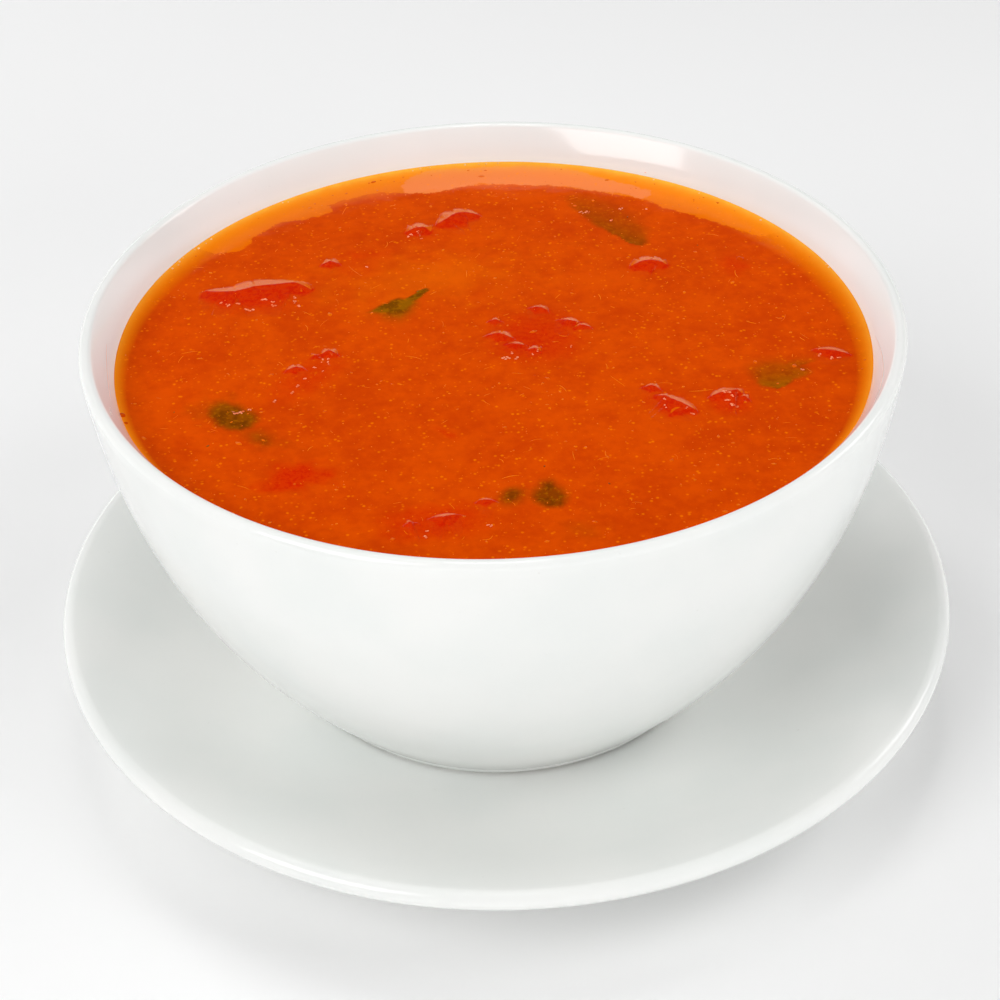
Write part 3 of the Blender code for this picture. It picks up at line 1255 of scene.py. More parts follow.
DICE = (
    TomatoDie(
        1, 19, 11.5, -3, 0.55,
        (
            Ridge(0.83, 3.26, 7, (
                -51, 19.7, -48.7, 18.9, -46, 18.5, -42.5, 19.8, -38.9, 20.4, -36.8, 21, -35.4, 21.2, -33.6,
                20.1, -32.6, 19.2,
            )),
        ),
        (
            -48.2, 15.7, 0.28, -46.9, 14.5, 0.46, -45.1, 15.4, 0.37, -43, 12.9, 1.1, -40.6, 15.8, 0.74, -38.9,
            15.3, 0.37, -38.7, 14.1, 0.56, -35.2, 16.7, 0.28, -35.1, 15.3, 0.28, -34.3, 13.9, 0.28,
        ),
    ),
    TomatoDie(
        2, 18, 11, 20, 0.9,
        (
            Ridge(0.64, 2.43, 5, (-15.3, 39, -14.2, 39.6, -12.3, 39.8, -11.2, 38.8)),
            Ridge(0.74, 2.55, 5.5, (-9.7, 41.6, -8, 42.7, -6.3, 44.5, -4.4, 45, -2.4, 44.8)),
        ),
        (-14.7, 38, 0.37, -13.4, 38.3, 0.28, -12.8, 36.7, 0.19, -15.3, 37.3, 0.19),
    ),
    TomatoDie(
        3, 13, 7.5, -9, 0.8,
        (
            Ridge(0.46, 1.5, 3, (-30.6, 28, -29.4, 28.5, -27.9, 28.1)),
        ),
        (-22.6, 26.9, 0.25),
    ),
    TomatoDie(
        4, 20, 9.5, 55, 0.55,
        (
            Ridge(0.55, 1.41, 3, (-29.3, -2.1, -28.2, -1.5, -26.9, -2.2)),
            Ridge(0.32, 0.97, 2.5, (-35.1, -6.8, -33.6, -6, -32.4, -6.2)),
            Ridge(0.28, 0.84, 2, (-30.9, -2.8, -30.2, -2.2)),
        ),
        (
            -29.2, -4.1, 0.23, -28.2, -4.5, 0.23, -28.2, -3.4, 0.19, -30.4, -5.9, 0.28, -29, -6.9, 0.19,
            -31.9, -9.2, 0.28, -33, -11.5, 0.28, -33.8, -13.4, 0.19, -36.6, -15.9, 0.23,
        ),
    ),
    TomatoDie(
        5, 19, 19, 2, 0.4,
        (
            Ridge(0.41, 1.14, 2.5, (7.1, 11.2, 8.5, 10.7, 9.7, 9.8)),
            Ridge(0.46, 1.5, 2.5, (12, 6.8, 13.4, 6, 15, 5.8)),
            Ridge(0.28, 0.75, 2, (14.3, 4, 15.4, 4.9, 16.9, 4.2)),
            Ridge(0.32, 0.92, 2, (-0.2, 7.2, 1.2, 7.1)),
            Ridge(0.55, 1.5, 2.5, (-0.6, 2.6, 1.1, 2.4, 2.5, 1.6, 3.3, 1.3)),
            Ridge(0.46, 1.14, 2, (2.4, -0.6, 3.9, -1, 5.5, -1.1)),
            Ridge(0.41, 1.28, 2, (6.1, -2.3, 7.2, -2.5, 8, -3.2)),
        ),
        (
            2.2, -4.6, 0.93, 3.9, -5.1, 0.32, 3.2, -3.2, 0.19, 6.7, -4.1, 0.19, 7.6, -3.1, 0.14, 13.4, -1.7,
            0.19,
        ),
    ),
    TomatoDie(
        6, 13, 9, -50, 0.6,
        (
            Ridge(0.46, 1.14, 2.5, (25.2, -14.8, 26.3, -14.9, 27.4, -15.5)),
            Ridge(0.55, 1.5, 4, (27, -17.5, 28.3, -17.9, 29.2, -19.1, 30.4, -20.1, 31.7, -21.1, 32.9, -22.2)),
            Ridge(0.28, 0.79, 2, (28.8, -23.1, 29.7, -22.1, 30.7, -21.6)),
        ),
        (28, -19.1, 0.28, 28, -20.9, 0.19, 32.3, -23.2, 0.28, 31.5, -21.9, 0.19),
    ),
    TomatoDie(
        7, 8.5, 9, 7, 0.35,
        (
            Ridge(0.74, 1.85, 4, (35.9, -18.3, 37.3, -17.8, 39.1, -17.6, 40.2, -17, 41, -17.8)),
            Ridge(0.46, 1.1, 2.5, (40.6, -18.7, 41.2, -18.8, 41.8, -19.2)),
        ),
        (38.4, -18, 0.8, 38.4, -19.8, 0.56, 39.1, -20.8, 0.42, 39.2, -18.8, 0.23, 39.9, -21.5, 0.19),
    ),
    TomatoDie(
        8, 7.2, 5.5, -8, 0.9,
        (
            Ridge(0.46, 1.41, 2.5, (55.2, -4.9, 56.4, -5.4, 58, -6, 60.2, -6.6)),
        ),
        (55.4, -6.6, 0.23, 57.3, -7.8, 0.32, 58.5, -7.9, 0.37),
    ),
    TomatoDie(
        9, 10, 10, 10, 0.9,
        (
            Ridge(0.64, 2.11, 5, (25.6, 24.2, 27.3, 25.2, 29.3, 25.5, 30.7, 25.2, 31.8, 24.3)),
        ),
    ),
    TomatoDie(
        10, 20, 11, 9, 0.45,
        (
            Ridge(0.41, 1.01, 3, (-10, -48.9, -8.3, -49.1, -6.3, -48.4)),
            Ridge(0.37, 0.88, 2.5, (-14, -50.3, -13.1, -50)),
            Ridge(0.23, 0.57, 2, (-3, -45.1, -1.9, -44.9, -0.8, -44.9)),
        ),
        (-10.9, -52.1, 0.19, -11.1, -53.4, 0.19, -1.3, -51.1, 0.56),
    ),
)

LEAVES = (
    Leaf(
        "leaf_near_middle",
        (
            -21.6, 11.4, -20.4, 12.6, -18.4, 14.2, -16.4, 15.5, -15.4, 15.2, -14.4, 16.3, -13.2, 18.1, -11.6,
            18.7, -11.4, 17.9, -12.6, 16.2, -13.7, 14.6, -14.3, 12.3, -15, 10, -16, 8.4, -17.4, 8.8, -19.1,
            10.1, -20.5, 11,
        ),
        -70, (-0.08, 1.6), 1.55, 0.75, 3,
    ),
    Leaf(
        "leaf_left",
        (
            -47.4, -17.2, -46.2, -15.3, -43.8, -16.2, -41.7, -17.8, -39.8, -19, -39.1, -21.1, -40, -23, -42.1,
            -23.8, -44.1, -23.2, -46.2, -21,
        ),
        100, (0.55, 0.95), 1.5, 0.25, 11,
        (-42.9, -18.9, 0.6, -41.9, -18.7, 0.5, -40.6, -18, 0.3),
    ),
    Leaf(
        "leaf_left_low",
        (-40.3, -24.7, -39.1, -24.1, -37.4, -25.1, -36.4, -26.9, -36.8, -28.5, -38.3, -27.6, -39.9, -26.1),
        60, (0.9, 1.3), 1.2, 0.4, 5,
    ),
    Leaf(
        "leaf_back",
        (
            17.2, 44.8, 18.9, 42.1, 21.4, 38.5, 23.8, 35.4, 25.8, 32.9, 27.8, 31.5, 29.1, 32.6, 29, 35.9, 28,
            40.4, 26.3, 45.5, 23.7, 48.7, 20.5, 50.4, 17.1, 51.8, 15.1, 50, 15.8, 46.8,
        ),
        50, (0.02, 2.4), 0.85, 0.35, 8,
        (17.4, 44.6, 0.6, 18.6, 44.5, 0.6, 24.9, 45.6, 0.5, 29.8, 45, 0.15, 22.9, 41.2, 0.3),
    ),
    Leaf(
        "leaf_right",
        (
            43.4, -9.9, 44.5, -8, 46.9, -7.6, 49.6, -8.4, 51.8, -9.6, 54, -7.9, 54.5, -8.2, 53.2, -11.4, 50.2,
            -13.6, 47, -16.2, 44.5, -15, 43.5, -12.3,
        ),
        100, (0, 1.5), 0.87, 0.95, 14,
        (51.9, -10.8, 0.3),
    ),
    Leaf(
        "leaf_front_left",
        (0.9, -43.5, 1.7, -42.2, 2.9, -41.9, 3.9, -42.6, 3.7, -44.1, 2.7, -45.4, 1.5, -45.7, 0.7, -44.8),
        -60, (0.75, 1.05), 1.75, 0, 21,
    ),
    Leaf(
        "leaf_front_right",
        (
            5.6, -43.5, 6.7, -42, 7.7, -40.2, 8.5, -40.2, 9.1, -41.8, 10.4, -43.7, 10.6, -45.3, 9.6, -46.6,
            7.9, -46.7, 6.3, -45.6,
        ),
        80, (0.6, 1.05), 1.85, 0, 24,
    ),
)

SHADOWS = (
    Shadow(PointValue.TOMATO, 44.1, 23.8, 9, 8, 0, 0.5),
    Shadow(PointValue.TOMATO, -32, -37, 11, 8.5, 10, 0.8),
    Shadow(PointValue.TOMATO, -8, -26.4, 7.5, 1.8, -40, 0.55),
    Shadow(PointValue.TOMATO, -24, 31, 14, 6, 8, 0.4),
    Shadow(PointValue.LEAF, -46.4, -18, 6.5, 6.5, 20, 0.42),
    Shadow(PointValue.LEAF, -38.4, -26.4, 9, 4, -32, 0.35),
    Shadow(PointValue.LEAF, 12.8, -52.6, 6, 4.5, -5, 0.24),
    Shadow(PointValue.LEAF, -20.5, 9.8, 6, 3.5, 10, 0.15),
    Shadow(PointValue.PALE_AND_PAINTED_LIGHT, -12, 22, 30, 14, 10, 0.2),
)


# Outlines in millimetres from the bowl's axis: where the wall's light is painted on the soup, and
# where the wall's reflection in its surface is painted.
PAINTED_WALL_LIGHT_OUTLINE = (
    -50.7, 33.1, -48, 33.5, -46.2, 34.4, -44.5, 36.5, -44.5, 38.1, -43.4, 40, -41.8, 41.2, -40.3, 43.7, -37.2,
    44.8, -34.5, 45, -31.6, 46.5, -29.7, 48.1, -30.8, 50.1, -27.6, 52.3, -21, 54.7, -16.1, 54.2, -12.3, 53.8,
    -9.4, 54.2, -6.5, 55.4, -3.6, 56.6, 3.2, 56.6, 12.9, 55.4, 18.7, 53.3, 21.4, 52.6, 30.2, 48.7, 32.5, 45.9,
    36.8, 43.3, 40.5, 41, 43.4, 38.6, 47, 35.8, 50, 33.9, 53.9, 35.2, 47.8, 47.7, 31.7, 62.2, 14.4, 69.9,
    -1.5, 71.7, -17.4, 69.8, -31, 63.5, -43.9, 51.1, -53.8, 34.7,
)
PAINTED_REFLECTION_OUTLINE = (
    -16.1, 54.2, -16.8, 57, -15.3, 60.1, -12.3, 62.2, -8.4, 63, -3.5, 63.1, 2.4, 63.4, 8.3, 63.2, 14.1, 62.2,
    17, 61.1, 19.8, 59.1, 23.6, 57, 27.3, 54.8, 31, 52.2, 31.2, 50.2, 28.9, 49.2, 25.2, 51.9, 21.4, 52.6,
    18.7, 53.3, 16.7, 54.6, 12.9, 55.4, 8, 55.9, 3.2, 56.6, -0.7, 57, -3.6, 56.6, -6.5, 55.4, -9.4, 54.2,
    -12.3, 53.8,
)


@dataclass
class Soup:
    """The thick soup that fills the bowl, and everything in it.

    Its methods take places in plan as the world's x + iy.

    Attributes:
        bowl: The bowl that it fills.
        climb: How much higher the soup stands where it clings to the wall.
        climb_reach: How far in from the wall it starts to rise.
        overlap: How far it reaches into the wall, so that no air shows.
        cells: Cells across the surface's grid.
        floor_gap: How far above the bowl's floor it ends.
        fillet: How broadly its surface meets what breaks it.
        die_cell, leaf_cell: Cells' size on the tomato and the leaves.
        blade: The leaves' thickness.
    """

    bowl: Bowl
    climb: float = 0.7 * MM
    climb_reach: float = 5.5 * MM
    overlap: float = 0.15 * MM
    cells: int = 264
    floor_gap: float = 0.3 * MM
    fillet: float = 0.2 * MM
    die_cell: float = 0.16 * MM
    leaf_cell: float = 0.14 * MM
    blade: float = 0.14 * MM

    # The side where the painted light in the thin soup at the wall is strongest.
    BRIGHT_SIDE = math.radians(82)  # where the light comes through the thin soup
    OUTLINE_REACH = 1.5 * MM  # how far an outline's edge is blurred each way
    # The film and the paler soup inside it carry painted light, wider on the bright side.
    FILM_START, FILM_REACH = 0.45, (0.36, 0.79)  # millimetres, and more on the bright side
    PALE_START, PALE_REACH = 0.3, (1.0, 8.2)  # the same, for the paler soup inside it
    # How strongly painted sheen lies on the dice's far sides.
    DIE_PAINTED_SHEEN = 0.3
    DIE_ROUNDNESS = 0.55  # of its grid, from a square to a disc
    DIE_MARGIN = 1.04  # its grid's size, as a share of its room
    DIE_PROUD, DIE_DIP = 0.025, 0.4  # millimetres over the soup's surface, and under it
    HIDDEN = 0.3 * MM  # how far the soup's surface sinks where a die covers it

    def __post_init__(self) -> None:
        """Reads the soup's level from the frame, and its edge from the wall at that height."""
        self.axis = complex(*self.bowl.axis)
        self.edge_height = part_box("soup")[1][2] - self.bowl.foot
        self.level = self.bowl.foot + self.edge_height - self.climb
        self.edge = float(self.bowl.wall_radius(self.edge_height)) + self.overlap
        self.finish = WetFinish().material("soup_surface")

    def calm(self, plan: Array) -> Array:
        """The surface without its tomato: the level, slow waves and the climb at the wall.

        The climb is climb (1 - d / reach)^3, d the way to the wall.

        Args:
            plan: The places.

        Returns:
            The height at each place.
        """
        share = np.clip(1 - (self.edge - np.abs(plan - self.axis)) / self.climb_reach, 0.0, 1.0)
        waves = 0.05 * MM * Noise(501).layered(plan, 9 * MM, 2) + 0.02 * MM * Noise(502).at(plan, 2.2 * MM)
        return self.level + self.climb * share**3 + waves * (1 - share)

    def middle(self, die: TomatoDie) -> complex:
        """A die's middle from the bowl's axis, read from the frame."""
        low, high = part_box(die.node)
        return complex(low[0] + high[0], low[1] + high[1]) / 2 - self.axis

    def crown(self, die: TomatoDie, plan: Array) -> Array:
        """The height of a die's upper side."""
        return self.level + die.rise(plan - self.axis, self.middle(die))

    def crowns(self, plan: Array) -> Array:
        """The height of the highest die at each place."""
        return np.max([self.crown(die, plan) for die in DICE], axis=0)

    def height(self, plan: Array) -> Array:
        """The soup's surface, drawn up a little where tomato breaks it."""
        return soft_max(self.calm(plan), self.crowns(plan), self.fillet)

    def nearness(self, outline: Row, off: Array) -> Array:
        """0.5 on an outline, rising to 1 inside it and falling to 0 outside, over its reach."""
        return np.clip(0.5 + outline_depth(outline, off) / (2 * self.OUTLINE_REACH), 0.0, 1.0)

    def values(self, plan: Array) -> dict[PointValue, Array]:
        """What the wet finish reads.

        The film of thin soup at the wall, and the paler soup inside it, carry painted light, and are
        wider the nearer a place is to the bright side, by the share (1 + cos a) / 2.

        Args:
            plan: The places.

        Returns:
            A value from 0 to 1 for each name that the finish reads.
        """
        off = plan - self.axis
        way = (self.edge - np.abs(off)) / MM
        lit = 0.5 + 0.5 * np.cos(np.angle(off) - self.BRIGHT_SIDE)
        (film_dim, film_lit), (pale_dim, pale_lit) = self.FILM_REACH, self.PALE_REACH
        film = np.exp(-np.maximum(way - self.FILM_START, 0.0) / (film_dim + film_lit * lit**2))
        pale = np.clip(1 - (way - self.PALE_START) / (pale_dim + pale_lit * lit**2.2), 0.0, 1.0)
        tints = [leaf.tint(off) for leaf in LEAVES]
        found = {
            PointValue.TOMATO: np.max([die.redness(off, self.middle(die)) for die in DICE], axis=0),
            PointValue.LEAF: np.max(tints, axis=0),
            PointValue.OLIVE: np.max([leaf.olive * tint for leaf, tint in zip(LEAVES, tints)], axis=0),
            # thin soup with painted light
            PointValue.FILM_AND_PAINTED_LIGHT: lit**1.7 * film,
            # pale soup with painted light from the wall, and painted sheen on the dice
            PointValue.PALE_AND_PAINTED_LIGHT: np.maximum(
                pale, self.DIE_PAINTED_SHEEN * np.max([die.painted_sheen(off) for die in DICE], axis=0)
            ),
            # painted light from the wall
            PointValue.PAINTED_WALL_LIGHT: self.nearness(PAINTED_WALL_LIGHT_OUTLINE, off),
            # painted reflection of the wall
            PointValue.PAINTED_REFLECTION: self.nearness(PAINTED_REFLECTION_OUTLINE, off),
        }
        for shadow in SHADOWS:
            found[shadow.value] = np.maximum(found[shadow.value], shadow.tint(off))
        return found

    def build_body(self) -> None:
        """The soup itself: a fine surface, and a side that follows the wall down to the floor.

        The grid is a disc whose radius r becomes r + 0.2 r (1 - r^2), so that its cells are
        smaller near the wall. Under the raised part of each die the surface sinks out of sight.
        """
        disc = rounded_grid(self.cells + 1, self.cells + 1, 1.0)
        share = np.hypot(disc.real, disc.imag)
        plan = self.axis + disc * (1.2 - 0.2 * share**2) * self.edge
        calm, crown = self.calm(plan), self.crowns(plan)
        hidden = self.HIDDEN * smooth_step(0.1 * MM, 0.5 * MM, crown - calm)
        top = points_at(plan, soft_max(calm, crown, self.fillet) - hidden)
        wall = self.bowl.inner_wall()
        wall = wall[(wall[:, 1] < self.edge_height - 1.0 * MM)][::3]
        outward = (plan.ravel()[rim_order(*plan.shape)] - self.axis) / self.edge
        foot, floor = self.bowl.foot, self.bowl.floor[1] + self.floor_gap
        rings = [
            points_at(self.axis + outward * (radius + self.overlap), foot + max(height, floor))
            for radius, height in wall
        ]
        parts = closed_sheet(top, np.array(rings), points_at(self.axis, foot + floor), self.values(plan))
        add_piece("soup_body", parts, self.finish, Slot.SOUP, ["soup"])

    def build_die(self, die: TomatoDie, finish: bpy.types.Material) -> None:
        """One die: a fine upper side that shares the soup's surface where the two meet.

        Its border dips under the soup, and rings narrow below it to its sunk base.

        Args:
            die: The die.
            finish: Its material.
        """
        half = np.array([die.length, die.width]) * MM * die.ROOM * self.DIE_MARGIN / 2
        columns, rows = (int(size / self.die_cell) * 2 + 1 for size in half)
        grid = rounded_grid(rows, columns, self.DIE_ROUNDNESS)
        middle = self.middle(die) + self.axis
        plan = turned(grid.real * half[0] + 1j * grid.imag * half[1], die.turn) + middle
        calm, crown = self.calm(plan), self.crown(die, plan)
        sunk = 1 - smooth_step(-0.6 * MM, -0.15 * MM, crown - calm)
        lift = (self.DIE_PROUD - self.DIE_DIP * sunk**2) * MM
        top = points_at(plan, soft_max(calm, crown, self.fillet) + lift)
        rim = top.reshape(-1, 3)[rim_order(rows, columns)]
        base = points_at(middle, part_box(die.node)[0][2])
        rings = []
        for angle in np.linspace(0.125, 1.0, 5)[:-1] * math.pi / 2:
            ring = base + (rim - base) * math.cos(angle)
            ring[:, 2] = rim[:, 2] + (base[2] - rim[:, 2]) * math.sin(angle)
            rings.append(ring)
        parts = closed_sheet(top, np.array(rings), base, self.values(plan))
        add_piece(f"{die.node}_flesh", parts, finish, Slot.TOMATO, [die.node])

    def build_leaf(self, leaf: Leaf, finish: bpy.types.Material) -> None:
        """One leaf: a thin blade with a ragged outline, its high side just out of the soup.

        Args:
            leaf: The leaf.
            finish: Its material.
        """
        extent = np.ptp(np.reshape(leaf.outline, (-1, 2)), axis=0) * MM
        columns, rows = (int(side / self.leaf_cell) // 2 * 2 + 1 for side in extent)
        disc = rounded_grid(rows, columns, 1.0)
        off = leaf.middle + disc * leaf.edge(leaf.middle + disc)
        lie, plan = leaf.lie(off), off + self.axis
        top = points_at(plan, self.height(plan) + lie)
        rim, middle = top.reshape(-1, 3)[rim_order(rows, columns)], top[rows // 2, columns // 2]
        below, inner = rim * 0.97 + middle * 0.03, (rim + middle) / 2
        below[:, 2] = rim[:, 2] - self.blade
        inner[:, 2] -= self.blade
        values = self.values(plan)
        floating = smooth_step(-0.12 * MM, 0.02 * MM, lie)
        for name, share in ((PointValue.LEAF, 1.0), (PointValue.OLIVE, leaf.olive)):
            values[name] = np.maximum(values[name], share * floating)
        parts = closed_sheet(top, np.array([below, inner]), middle - [0.0, 0.0, self.blade], values)
        add_piece(leaf.name, parts, finish, Slot.HERB)

    def scatter(self, rng: np.random.Generator, count: int, gap: float) -> Array:
        """Places spread evenly over the surface, but for a gap at the wall."""
        radius = (self.edge - gap) * np.sqrt(rng.random(count))
        return self.axis + radius * np.exp(1j * math.tau * rng.random(count))

    def build_specks(self, count: int = 1900) -> None:
        """Specks of pulp, half sunk: many fine ones and a few as large as a grain of rice.

        Args:
            count: How many.
        """
        rng = np.random.default_rng(61)
        plan = self.scatter(rng, count, 1.2 * MM)
        size = np.clip(0.15 * MM * np.exp(0.5 * rng.standard_normal(count)), 0.06 * MM, 0.6 * MM)
        sizes = np.stack([size * rng.uniform(1.0, 1.8, count), size, size * 0.2], 1)
        centres = points_at(plan, self.height(plan) - sizes[:, 2] * rng.uniform(0.45, 0.85, count))
        parts = scattered_blobs(centres, sizes, math.tau * rng.random(count))
        pulp = Pulp("pulp_specks", (0.72, 0.085, 0.0), (0.86, 0.165, 0.0))
        pulp.add(parts, rng.random(count) ** 1.6)

    def build_fibres(self, count: int = 150) -> None:
        """Fine fibres lying on the surface, gently bent, thinner towards both ends.

        A fibre's heading at the share s of its length is h + bend s + wave sin(2 pi s).

        Args:
            count: How many.
        """
        rng = np.random.default_rng(77)
        joints, sides = 15, 6
        start = self.scatter(rng, count, 6 * MM)
        share = np.linspace(0.0, 1.0, joints)
        length = np.clip(1.9 * MM * np.exp(0.45 * rng.standard_normal(count)), 0.9 * MM, 6.0 * MM)
        heading = math.tau * rng.random(count)
        bend, wave = rng.normal(0.0, 0.7, count), rng.normal(0.0, 0.2, count)
        course = heading[:, None] + bend[:, None] * share + wave[:, None] * np.sin(math.tau * share)
        plan = start[:, None] + np.cumsum(np.exp(1j * course) * length[:, None] / (joints - 1), 1)
        thick = rng.uniform(0.07 * MM, 0.13 * MM, count)[:, None] * (0.3 + 0.7 * np.sin(math.pi * share))
        sink = thick * rng.uniform(0.45, 0.85, count)[:, None] + 0.06 * MM * (2 * share - 1) ** 4
        parts = tubes(points_at(plan, self.height(plan) - sink), thick, sides)
        tint = np.concatenate([np.repeat(rng.random(count), joints * sides), np.full(2 * count, 0.5)])
        Pulp("tomato_fibres", (0.74, 0.09, 0.0), (0.86, 0.18, 0.0)).add(parts, tint)

    def build_crumbs(self) -> None:
        """Crumbs of herb that lie apart: flat, dark and no longer than a millimetre."""
        rng = np.random.default_rng(93)
        places = (-46.6, -28, 7.6, -36.2, 17.6, -41.3, 38.2, 31.3, 26, 42.4, -53.1, -18.1)
        plan = self.axis + spots(places)
        count = len(plan)
        size = rng.uniform(0.16 * MM, 0.28 * MM, count)
        sizes = np.stack([size * rng.uniform(1.2, 1.8, count), size, size * 0.35], 1)
        centres = points_at(plan, self.height(plan) - sizes[:, 2] * 0.5)
        parts = scattered_blobs(centres, sizes, math.tau * rng.random(count))
        pulp = Pulp("herb_crumbs", (0.20, 0.03, 0.0), (0.30, 0.07, 0.0), Slot.HERB)
        pulp.add(parts, rng.random(count))

    def on_wall(self, degrees: Array, above: Array) -> Array:
        """World points on the inner wall, at angles and at heights above the soup's edge."""
        height = self.edge_height + above
        off = self.bowl.wall_radius(height) * np.exp(1j * np.radians(degrees))
        return points_at(self.axis + off, self.bowl.foot + height)

    def build_splashes(self) -> None:
        """Drops of thin soup on the wall and the lip, each flattened against it.

        Each is given by its angle round the bowl, its height above the soup's edge, its half
        length and half height, and its tint from orange to nearly white; the nearly white ones are
        painted highlights.
        """
        drops = (
            (-157.4, 4.7, 0.80, 0.28, 0.95), (-159.3, 4.1, 0.40, 0.22, 0.9),
            (-164.2, 2.8, 0.30, 0.26, 0.95), (-160.6, 0.9, 0.62, 0.50, 0.35),
            (-78.6, 5.5, 0.90, 0.30, 0.35), (-76.9, 5.0, 0.75, 0.26, 0.3),
            (-75.6, 4.3, 0.50, 0.30, 0.4), (62.0, 0.5, 0.35, 0.20, 0.3),
        )
        degrees, above, long, tall, tint = np.array(drops).T
        sizes = np.stack([tall * 0.35, long, tall], 1) * MM
        parts = scattered_blobs(self.on_wall(degrees, above * MM), sizes, np.radians(degrees))
        # Orange drops of soup, and nearly white ones as painted highlights.
        pulp = Pulp("wall_splashes_and_glints", (0.90, 0.30, 0.03), (0.93, 0.80, 0.76), rounding=2)
        pulp.add(parts, tint)

    def build_tidemarks(self) -> None:
        """Two thin lines of dried soup on the wall, where it once stood higher."""
        share = np.linspace(0.0, 1.0, 40)
        spines = []
        marks = ((-178.0, 2.9, -163.6, 2.7, -0.45), (-4.0, 1.4, -27.0, 5.5, 0.4))
        for start, low, end, high, bow in marks:
            above = low + (high - low) * share + bow * np.sin(math.pi * share)
            spines.append(self.on_wall(start + (end - start) * share, above * MM))
        thick = 0.10 * MM * np.sin(math.pi * np.clip(share, 0.03, 0.97)) ** 0.5
        parts = tubes(np.array(spines), np.array([thick, 0.8 * thick]), 8)
        Pulp("wall_tidemarks", (0.90, 0.42, 0.30), (0.92, 0.72, 0.66)).add(parts, np.array([0.9]))

    def build_bubbles(self, count: int = 14) -> None:
        """Small bubbles at the surface: low domes, (r cos a sin b, r sin a sin b, 0.5 r cos b).

        Args:
            count: How many are scattered, besides the four that have their own places.
        """
        rng = np.random.default_rng(31)
        own = self.axis + spots((-61.6, -19.4, -60.6, -21.6, 45.4, 26.0, 33.0, -44.0))
        plan = np.concatenate([self.scatter(rng, count, 3 * MM), own])
        radius = np.concatenate([rng.uniform(0.2, 0.42, count), [0.9, 0.5, 1.0, 0.55]]) * MM
        centres = points_at(plan, self.height(plan) - 0.12 * radius)
        parts = scattered_blobs(centres, radius[:, None] * [1.0, 1.0, 0.5], np.zeros(len(plan)))
        add_piece("soup_bubbles", parts, self.finish, Slot.SOUP, rounding=2)

    def build_foam(self) -> None:
        """The tiny pale bubbles that cling to the wall, at given angles."""
        rng = np.random.default_rng(19)
        degrees = np.array(
            [154.7, 153.3, 152.4, 151.2, 148.1, 147.4, 145.5, 144.0, 127.8, 126.9, 103.3, 101.9, 100.2,
             94.0, 91.6, 90.3, 88.2, 60.2, 51.2, 37.6, 20.1, 19.2]
        )
        count = len(degrees)
        reach = self.edge - rng.uniform(0.35, 0.9, count) * MM
        plan = self.axis + reach * np.exp(1j * np.radians(degrees))
        size = rng.uniform(0.16, 0.34, count) * MM
        centres = points_at(plan, self.height(plan))
        parts = scattered_blobs(centres, size[:, None] * [1.0, 1.0, 0.6], np.radians(degrees))
        pulp = Pulp("edge_foam", (0.95, 0.42, 0.08), (0.95, 0.72, 0.45), rounding=1)
        pulp.add(parts, rng.random(count))

    def build_painted_glints(self) -> None:
        """Pale beads on the tomato and the leaves, each of a few run together: painted highlights."""
        rng = np.random.default_rng(47)
        centres, sizes = [], []
        for x, y, half in np.concatenate([np.reshape(item.beads, (-1, 3)) for item in (*DICE, *LEAVES)]):
            count = 2 + int(half / 0.2)
            share = (np.arange(count) + 0.5) / count * 2 - 1
            off_x = x + 0.8 * half * share + rng.normal(0, 0.03, count)
            plan = self.axis + (off_x + 1j * (y + rng.normal(0, 0.2, count))) * MM
            long = (half / count + 0.11) * MM * rng.uniform(0.7, 1.5, count)
            wide = rng.uniform(0.12, 0.34, count) * MM
            centres.append(points_at(plan, self.height(plan) + 0.05 * MM))
            sizes.append(np.stack([long, wide, 0.45 * wide], 1))
        centres = np.concatenate(centres)
        parts = scattered_blobs(centres, np.concatenate(sizes), rng.normal(0.0, 0.5, len(centres)))
        # Pale beads that stand for glints: painted highlights.
        pulp = Pulp("painted_glint_beads", (0.82, 0.12, 0.02), (0.98, 0.36, 0.20), Slot.TOMATO, rounding=1)
        pulp.add(parts, rng.random(len(centres)))

    def build(self) -> None:
        """Builds the soup and all that is in it."""
        self.build_body()
        flesh, blade = (WetFinish(ior=1.3).material(name) for name in ("tomato_flesh", "herb_blade"))
        for die in DICE:
            self.build_die(die, flesh)
        for leaf in LEAVES:
            self.build_leaf(leaf, blade)
        self.build_specks()
        self.build_fibres()
        self.build_crumbs()
        self.build_splashes()
        self.build_tidemarks()
        self.build_bubbles()
        self.build_foam()
        self.build_painted_glints()


@dataclass(frozen=True)
class Softbox:
    """A rectangular studio light aimed at the bowl.

    Attributes:
        name: Its name.
        azimuth: Its direction from +X towards +Y, in degrees.
        elevation: Its height above the horizon, in degrees.
        distance: Its distance from what it is aimed at.
        size: Its width and height.
        power: Its power in watts.
        mirrored: Whether glaze and wet surfaces mirror it.
    """

    name: str
    azimuth: float
    elevation: float
    distance: float
    size: tuple[float, float]
    power: float
    mirrored: bool = True

    def build(self, aim: Vector) -> None:
        """Hangs the light.

        Args:
            aim: The point that it faces.
        """
        around, above = math.radians(self.azimuth), math.radians(self.elevation)
        level = math.cos(above)
        way = Vector((level * math.cos(around), level * math.sin(around), math.sin(above)))
        lamp = bpy.data.lights.new(self.name, "AREA")
        lamp.shape = "RECTANGLE"
        lamp.size, lamp.size_y = self.size
        lamp.energy = self.power
        light = bpy.data.objects.new(self.name, lamp)
        light.location = aim + way * self.distance
        light.rotation_euler = way.to_track_quat("Z", "Y").to_euler()
        light.visible_camera = False
        light.visible_glossy = self.mirrored
        bpy.context.scene.collection.objects.link(light)


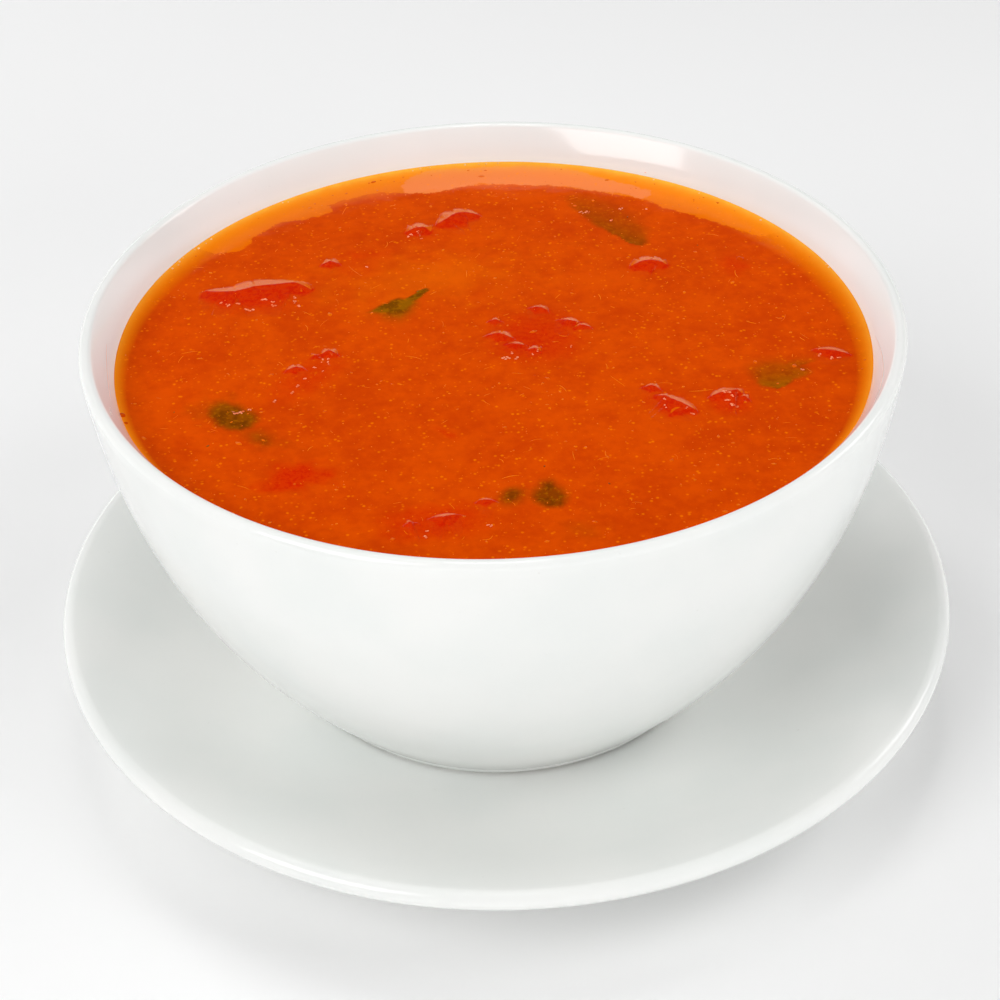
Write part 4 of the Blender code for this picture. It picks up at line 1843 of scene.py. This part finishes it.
@dataclass(frozen=True)
class Studio:
    """A plain pale sweep, soft lights and the camera.

    Attributes:
        floor_colour, floor_reach: The sweep's colour, and its reach each way.
        low_sky, high_sky: The surroundings' brightness near the horizon and above it.
        sky_edge: The elevations between which the one turns into the other, in degrees.
        softboxes: The lights.
        eye: Where the camera stands.
        pitch, yaw, roll: How far it looks down, to the right, and leans, in degrees.
        lens: Its focal length in millimetres.
    """

    floor_colour: Colour = (0.93, 0.93, 0.93)
    floor_reach: float = 1.4
    low_sky: float = 1.0
    high_sky: float = 0.08
    sky_edge: tuple[float, float] = (8.0, 16.0)
    softboxes: tuple[Softbox, ...] = (
        Softbox("key", 224, 39, 1.1, (0.62, 0.62), 5.3),
        Softbox("front_fill", 306, 22, 1.1, (0.6, 0.35), 2.8, mirrored=False),
        Softbox("side", 24, 37, 1.0, (0.34, 0.36), 1.2),
        Softbox("right_fill", 345, 48, 1.1, (0.5, 0.45), 2.7, mirrored=False),
        Softbox("back_left", 137, 34, 1.1, (0.55, 0.5), 3.3, mirrored=False),
        Softbox("left_fill", 180, 45, 1.1, (0.5, 0.45), 1.0, mirrored=False),
        Softbox("overhead", 90, 82, 1.0, (0.2, 0.2), 0.8),
        Softbox("back", 93, 57, 0.9, (0.45, 0.12), 0.6, mirrored=False),
    )
    eye: tuple[float, float, float] = (-1.0 * MM, -307.4 * MM, 270.2 * MM)
    pitch: float = 37.11
    yaw: float = 0.084
    roll: float = -1.604
    lens: float = 76.03

    def build_floor(self) -> None:
        """The level sweep that the saucer stands on."""
        corners = np.array([[-1, -1, 0], [1, -1, 0], [1, 1, 0], [-1, 1, 0]]) * self.floor_reach
        floor = bpy.data.objects.new("floor", MeshParts(corners, np.array([[0, 1, 2, 3]])).mesh("floor"))
        bpy.context.scene.collection.objects.link(floor)
        material, graph = new_material("pale_sweep")
        cloudy = graph.noise(size=0.15, detail=2)
        graph.surface(
            Base_Color=graph.blend(cloudy * 0.05, self.floor_colour, (0.86, 0.86, 0.86)),
            Roughness=0.9 + 0.05 * cloudy,
            IOR=1.2,
        )
        floor.data.materials.append(material)

    def build_sky(self) -> None:
        """White surroundings near the horizon, dim above, so that the soup reflects no veil."""
        world = bpy.data.worlds.new("studio")
        world.use_nodes = True
        bpy.context.scene.world = world
        graph = Graph(world.node_tree)
        up = graph.node("SeparateXYZ", "Z", {"Vector": graph.node("TexCoord", "Generated")})
        low, high = (math.sin(math.radians(edge)) for edge in self.sky_edge)
        brightness = self.low_sky + (self.high_sky - self.low_sky) * up.ramp(low, high)
        white = graph.node("Background", 0, {"Color": (1.0, 1.0, 1.0), "Strength": brightness})
        graph.node("OutputWorld", None, {"Surface": white})

    def build_camera(self) -> None:
        """Stands the camera and makes it the scene's own."""
        camera = bpy.data.objects.new("camera", bpy.data.cameras.new("camera"))
        camera.data.lens = self.lens
        camera.data.sensor_width = 36.0
        camera.data.clip_start = 0.01
        facing = Euler((math.radians(90 - self.pitch), 0.0, math.radians(-self.yaw))).to_matrix().to_4x4()
        lean = Matrix.Rotation(math.radians(self.roll), 4, "Z")
        camera.matrix_world = Matrix.Translation(self.eye) @ facing @ lean
        bpy.context.scene.collection.objects.link(camera)
        bpy.context.scene.camera = camera

    def build(self, aim: Vector) -> None:
        """Builds the sweep, the surroundings, the lights and the camera."""
        bpy.context.scene.view_settings.view_transform = "Standard"
        self.build_floor()
        self.build_sky()
        for softbox in self.softboxes:
            softbox.build(aim)
        self.build_camera()


def main() -> None:
    """Builds the dressed soup, its bowl and its saucer, and the studio round them."""
    logging.basicConfig(level=logging.INFO, format="%(message)s")
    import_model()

    Saucer().build()
    bowl = Bowl()
    bowl.build()
    Soup(bowl).build()
    Studio().build(Vector((*bowl.axis, bowl.foot + bowl.top / 2)))


if __name__ == "__main__":
    main()
